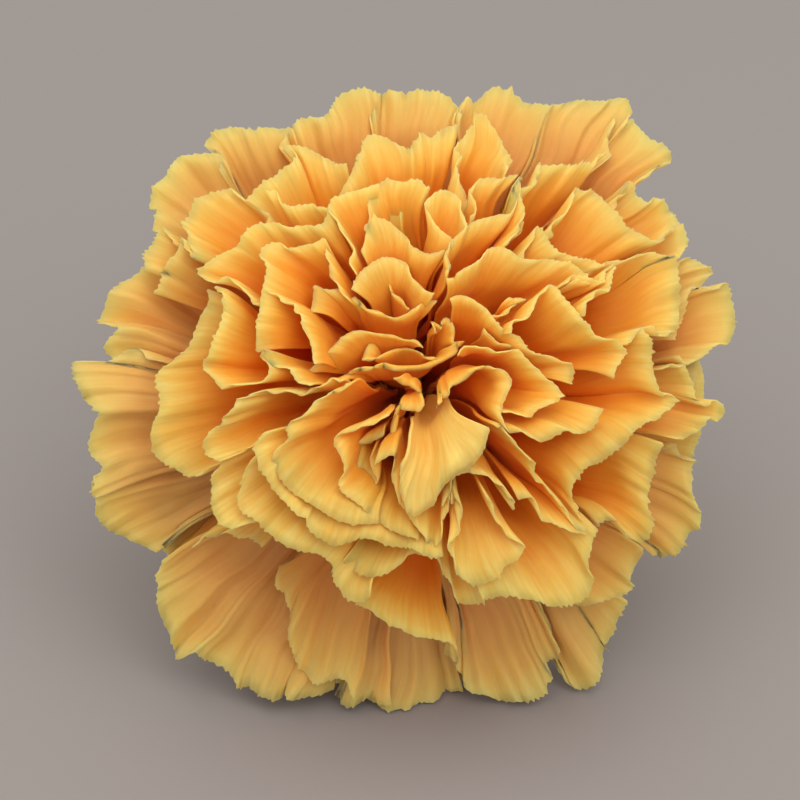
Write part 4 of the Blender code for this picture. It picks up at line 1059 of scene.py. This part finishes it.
def green_material(name, dark, light, nerves_a_metre):
    material, tree, shader = new_material(name)
    place = add_node(tree, "ShaderNodeTexCoord")
    speckle = add_node(tree, "ShaderNodeTexNoise",
                       inputs={"Vector": place.outputs["Object"], "Scale": SPECKLES_A_METRE,
                               "Detail": 3.0})
    along = add_node(tree, "ShaderNodeMapping",
                     inputs={"Vector": place.outputs["Object"],
                             "Rotation": (-TILT, 0.0, 0.0),
                             "Scale": (1.0, 1.0, ALONG_THE_STEM)})
    nerves = add_node(tree, "ShaderNodeTexNoise",
                      inputs={"Vector": along.outputs["Vector"], "Scale": nerves_a_metre,
                              "Detail": 2.0})
    tone = add_node(tree, "ShaderNodeMix", data_type="RGBA",
                    inputs={"Factor": nerves.outputs["Fac"], 6: srgb(dark), 7: srgb(light)})
    waxed = add_node(tree, "ShaderNodeMix", data_type="RGBA", blend_type="OVERLAY",
                     inputs={"Factor": 0.25, 6: tone.outputs[2], 7: speckle.outputs["Fac"]})
    relief = add_node(tree, "ShaderNodeBump",
                      inputs={"Height": nerves.outputs["Fac"], "Strength": 0.5,
                              "Distance": GREEN_RELIEF * MM})
    tree.links.new(waxed.outputs[2], shader.inputs["Base Color"])
    tree.links.new(relief.outputs["Normal"], shader.inputs["Normal"])
    set_shader(shader, {"Roughness": 0.45, "IOR": 1.45, "Subsurface Weight": 0.15,
                        "Subsurface Radius": (0.6, 1.0, 0.4), "Subsurface Scale": 0.6 * MM,
                        "Sheen Weight": 0.2, "Sheen Roughness": 0.4})
    return material


calyx_tissue = green_material("calyx_tissue", "#4E6B35", "#7F9A58", 900.0)
stem_rind = green_material("stem_rind", "#5A7840", "#8AA564", 1200.0)

# %% Dress and attach the pieces
finish_piece(claws, "petals", claw_tissue)
for petal_piece in petals:
    finish_piece(petal_piece, "petals", petal_tissue)
for green_piece in [calyx_tube] + bracts:
    finish_piece(green_piece, "calyx", calyx_tissue)
finish_piece(stem, "calyx", stem_rind)

# %% [markdown]
# ## Floor, light and camera
#
# The flower lies on a plain grey table. One broad, slightly warm light over it, a little to
# the front, models the folds, a small one at the right lifts that side, and an even white
# world fills the shadows, as in the soft light of the photograph. The view transform is
# Standard, so that the picture keeps the colours that the materials name.

# %% The floor
deselect_all()
bpy.ops.mesh.primitive_plane_add(size=6.0)
floor = named("floor")
floor_paint, _, floor_shader = new_material("matt_paper")
set_shader(floor_shader, {"Base Color": srgb("#938C88"), "Roughness": 0.9})
floor.data.materials.append(floor_paint)

# %% The light
bpy.context.scene.view_settings.view_transform = "Standard"


def soft_light(name, spot, aim, size, watts, colour):
    bpy.ops.object.light_add(type="AREA", location=spot)
    lamp = bpy.context.object
    lamp.name = name
    lamp.data.size = size
    lamp.data.energy = watts
    lamp.data.color = colour
    away = np.array(aim) - np.array(spot)
    lamp.rotation_euler = (math.atan2(math.hypot(away[0], away[1]), -away[2]),
                           0.0, math.atan2(away[0], -away[1]) + math.pi)
    return lamp


BLOOM_MIDDLE = (0, 0, 0.03)
WARM_WHITE = (1.0, 0.97, 0.92)
ROOM_LIGHT = 0.78
soft_light("window", (-0.03, -0.18, 0.60), BLOOM_MIDDLE, 0.6, 2.15, WARM_WHITE)
soft_light("bounce", (0.30, -0.40, 0.50), BLOOM_MIDDLE, 0.4, 0.6, WARM_WHITE)
world = bpy.data.worlds.new("room")
bpy.context.scene.world = world
world.use_nodes = True
world.node_tree.nodes["Background"].inputs["Color"].default_value = (1, 1, 1, 1)
world.node_tree.nodes["Background"].inputs["Strength"].default_value = ROOM_LIGHT

# %% The camera
bpy.ops.object.camera_add()
camera = bpy.context.object
camera.name = "camera"
camera.location = (VIEW_MIDDLE + VIEW_AWAY * TOWARD_EYE) * MM
camera.rotation_euler = (math.pi / 2 - VIEW_RISE, 0.0, VIEW_TURN)
camera.data.sensor_fit = "HORIZONTAL"
camera.data.angle = 2 * math.atan(MM_PER_POINT * POINTS_ACROSS / 2 / VIEW_AWAY)
bpy.context.scene.camera = camera
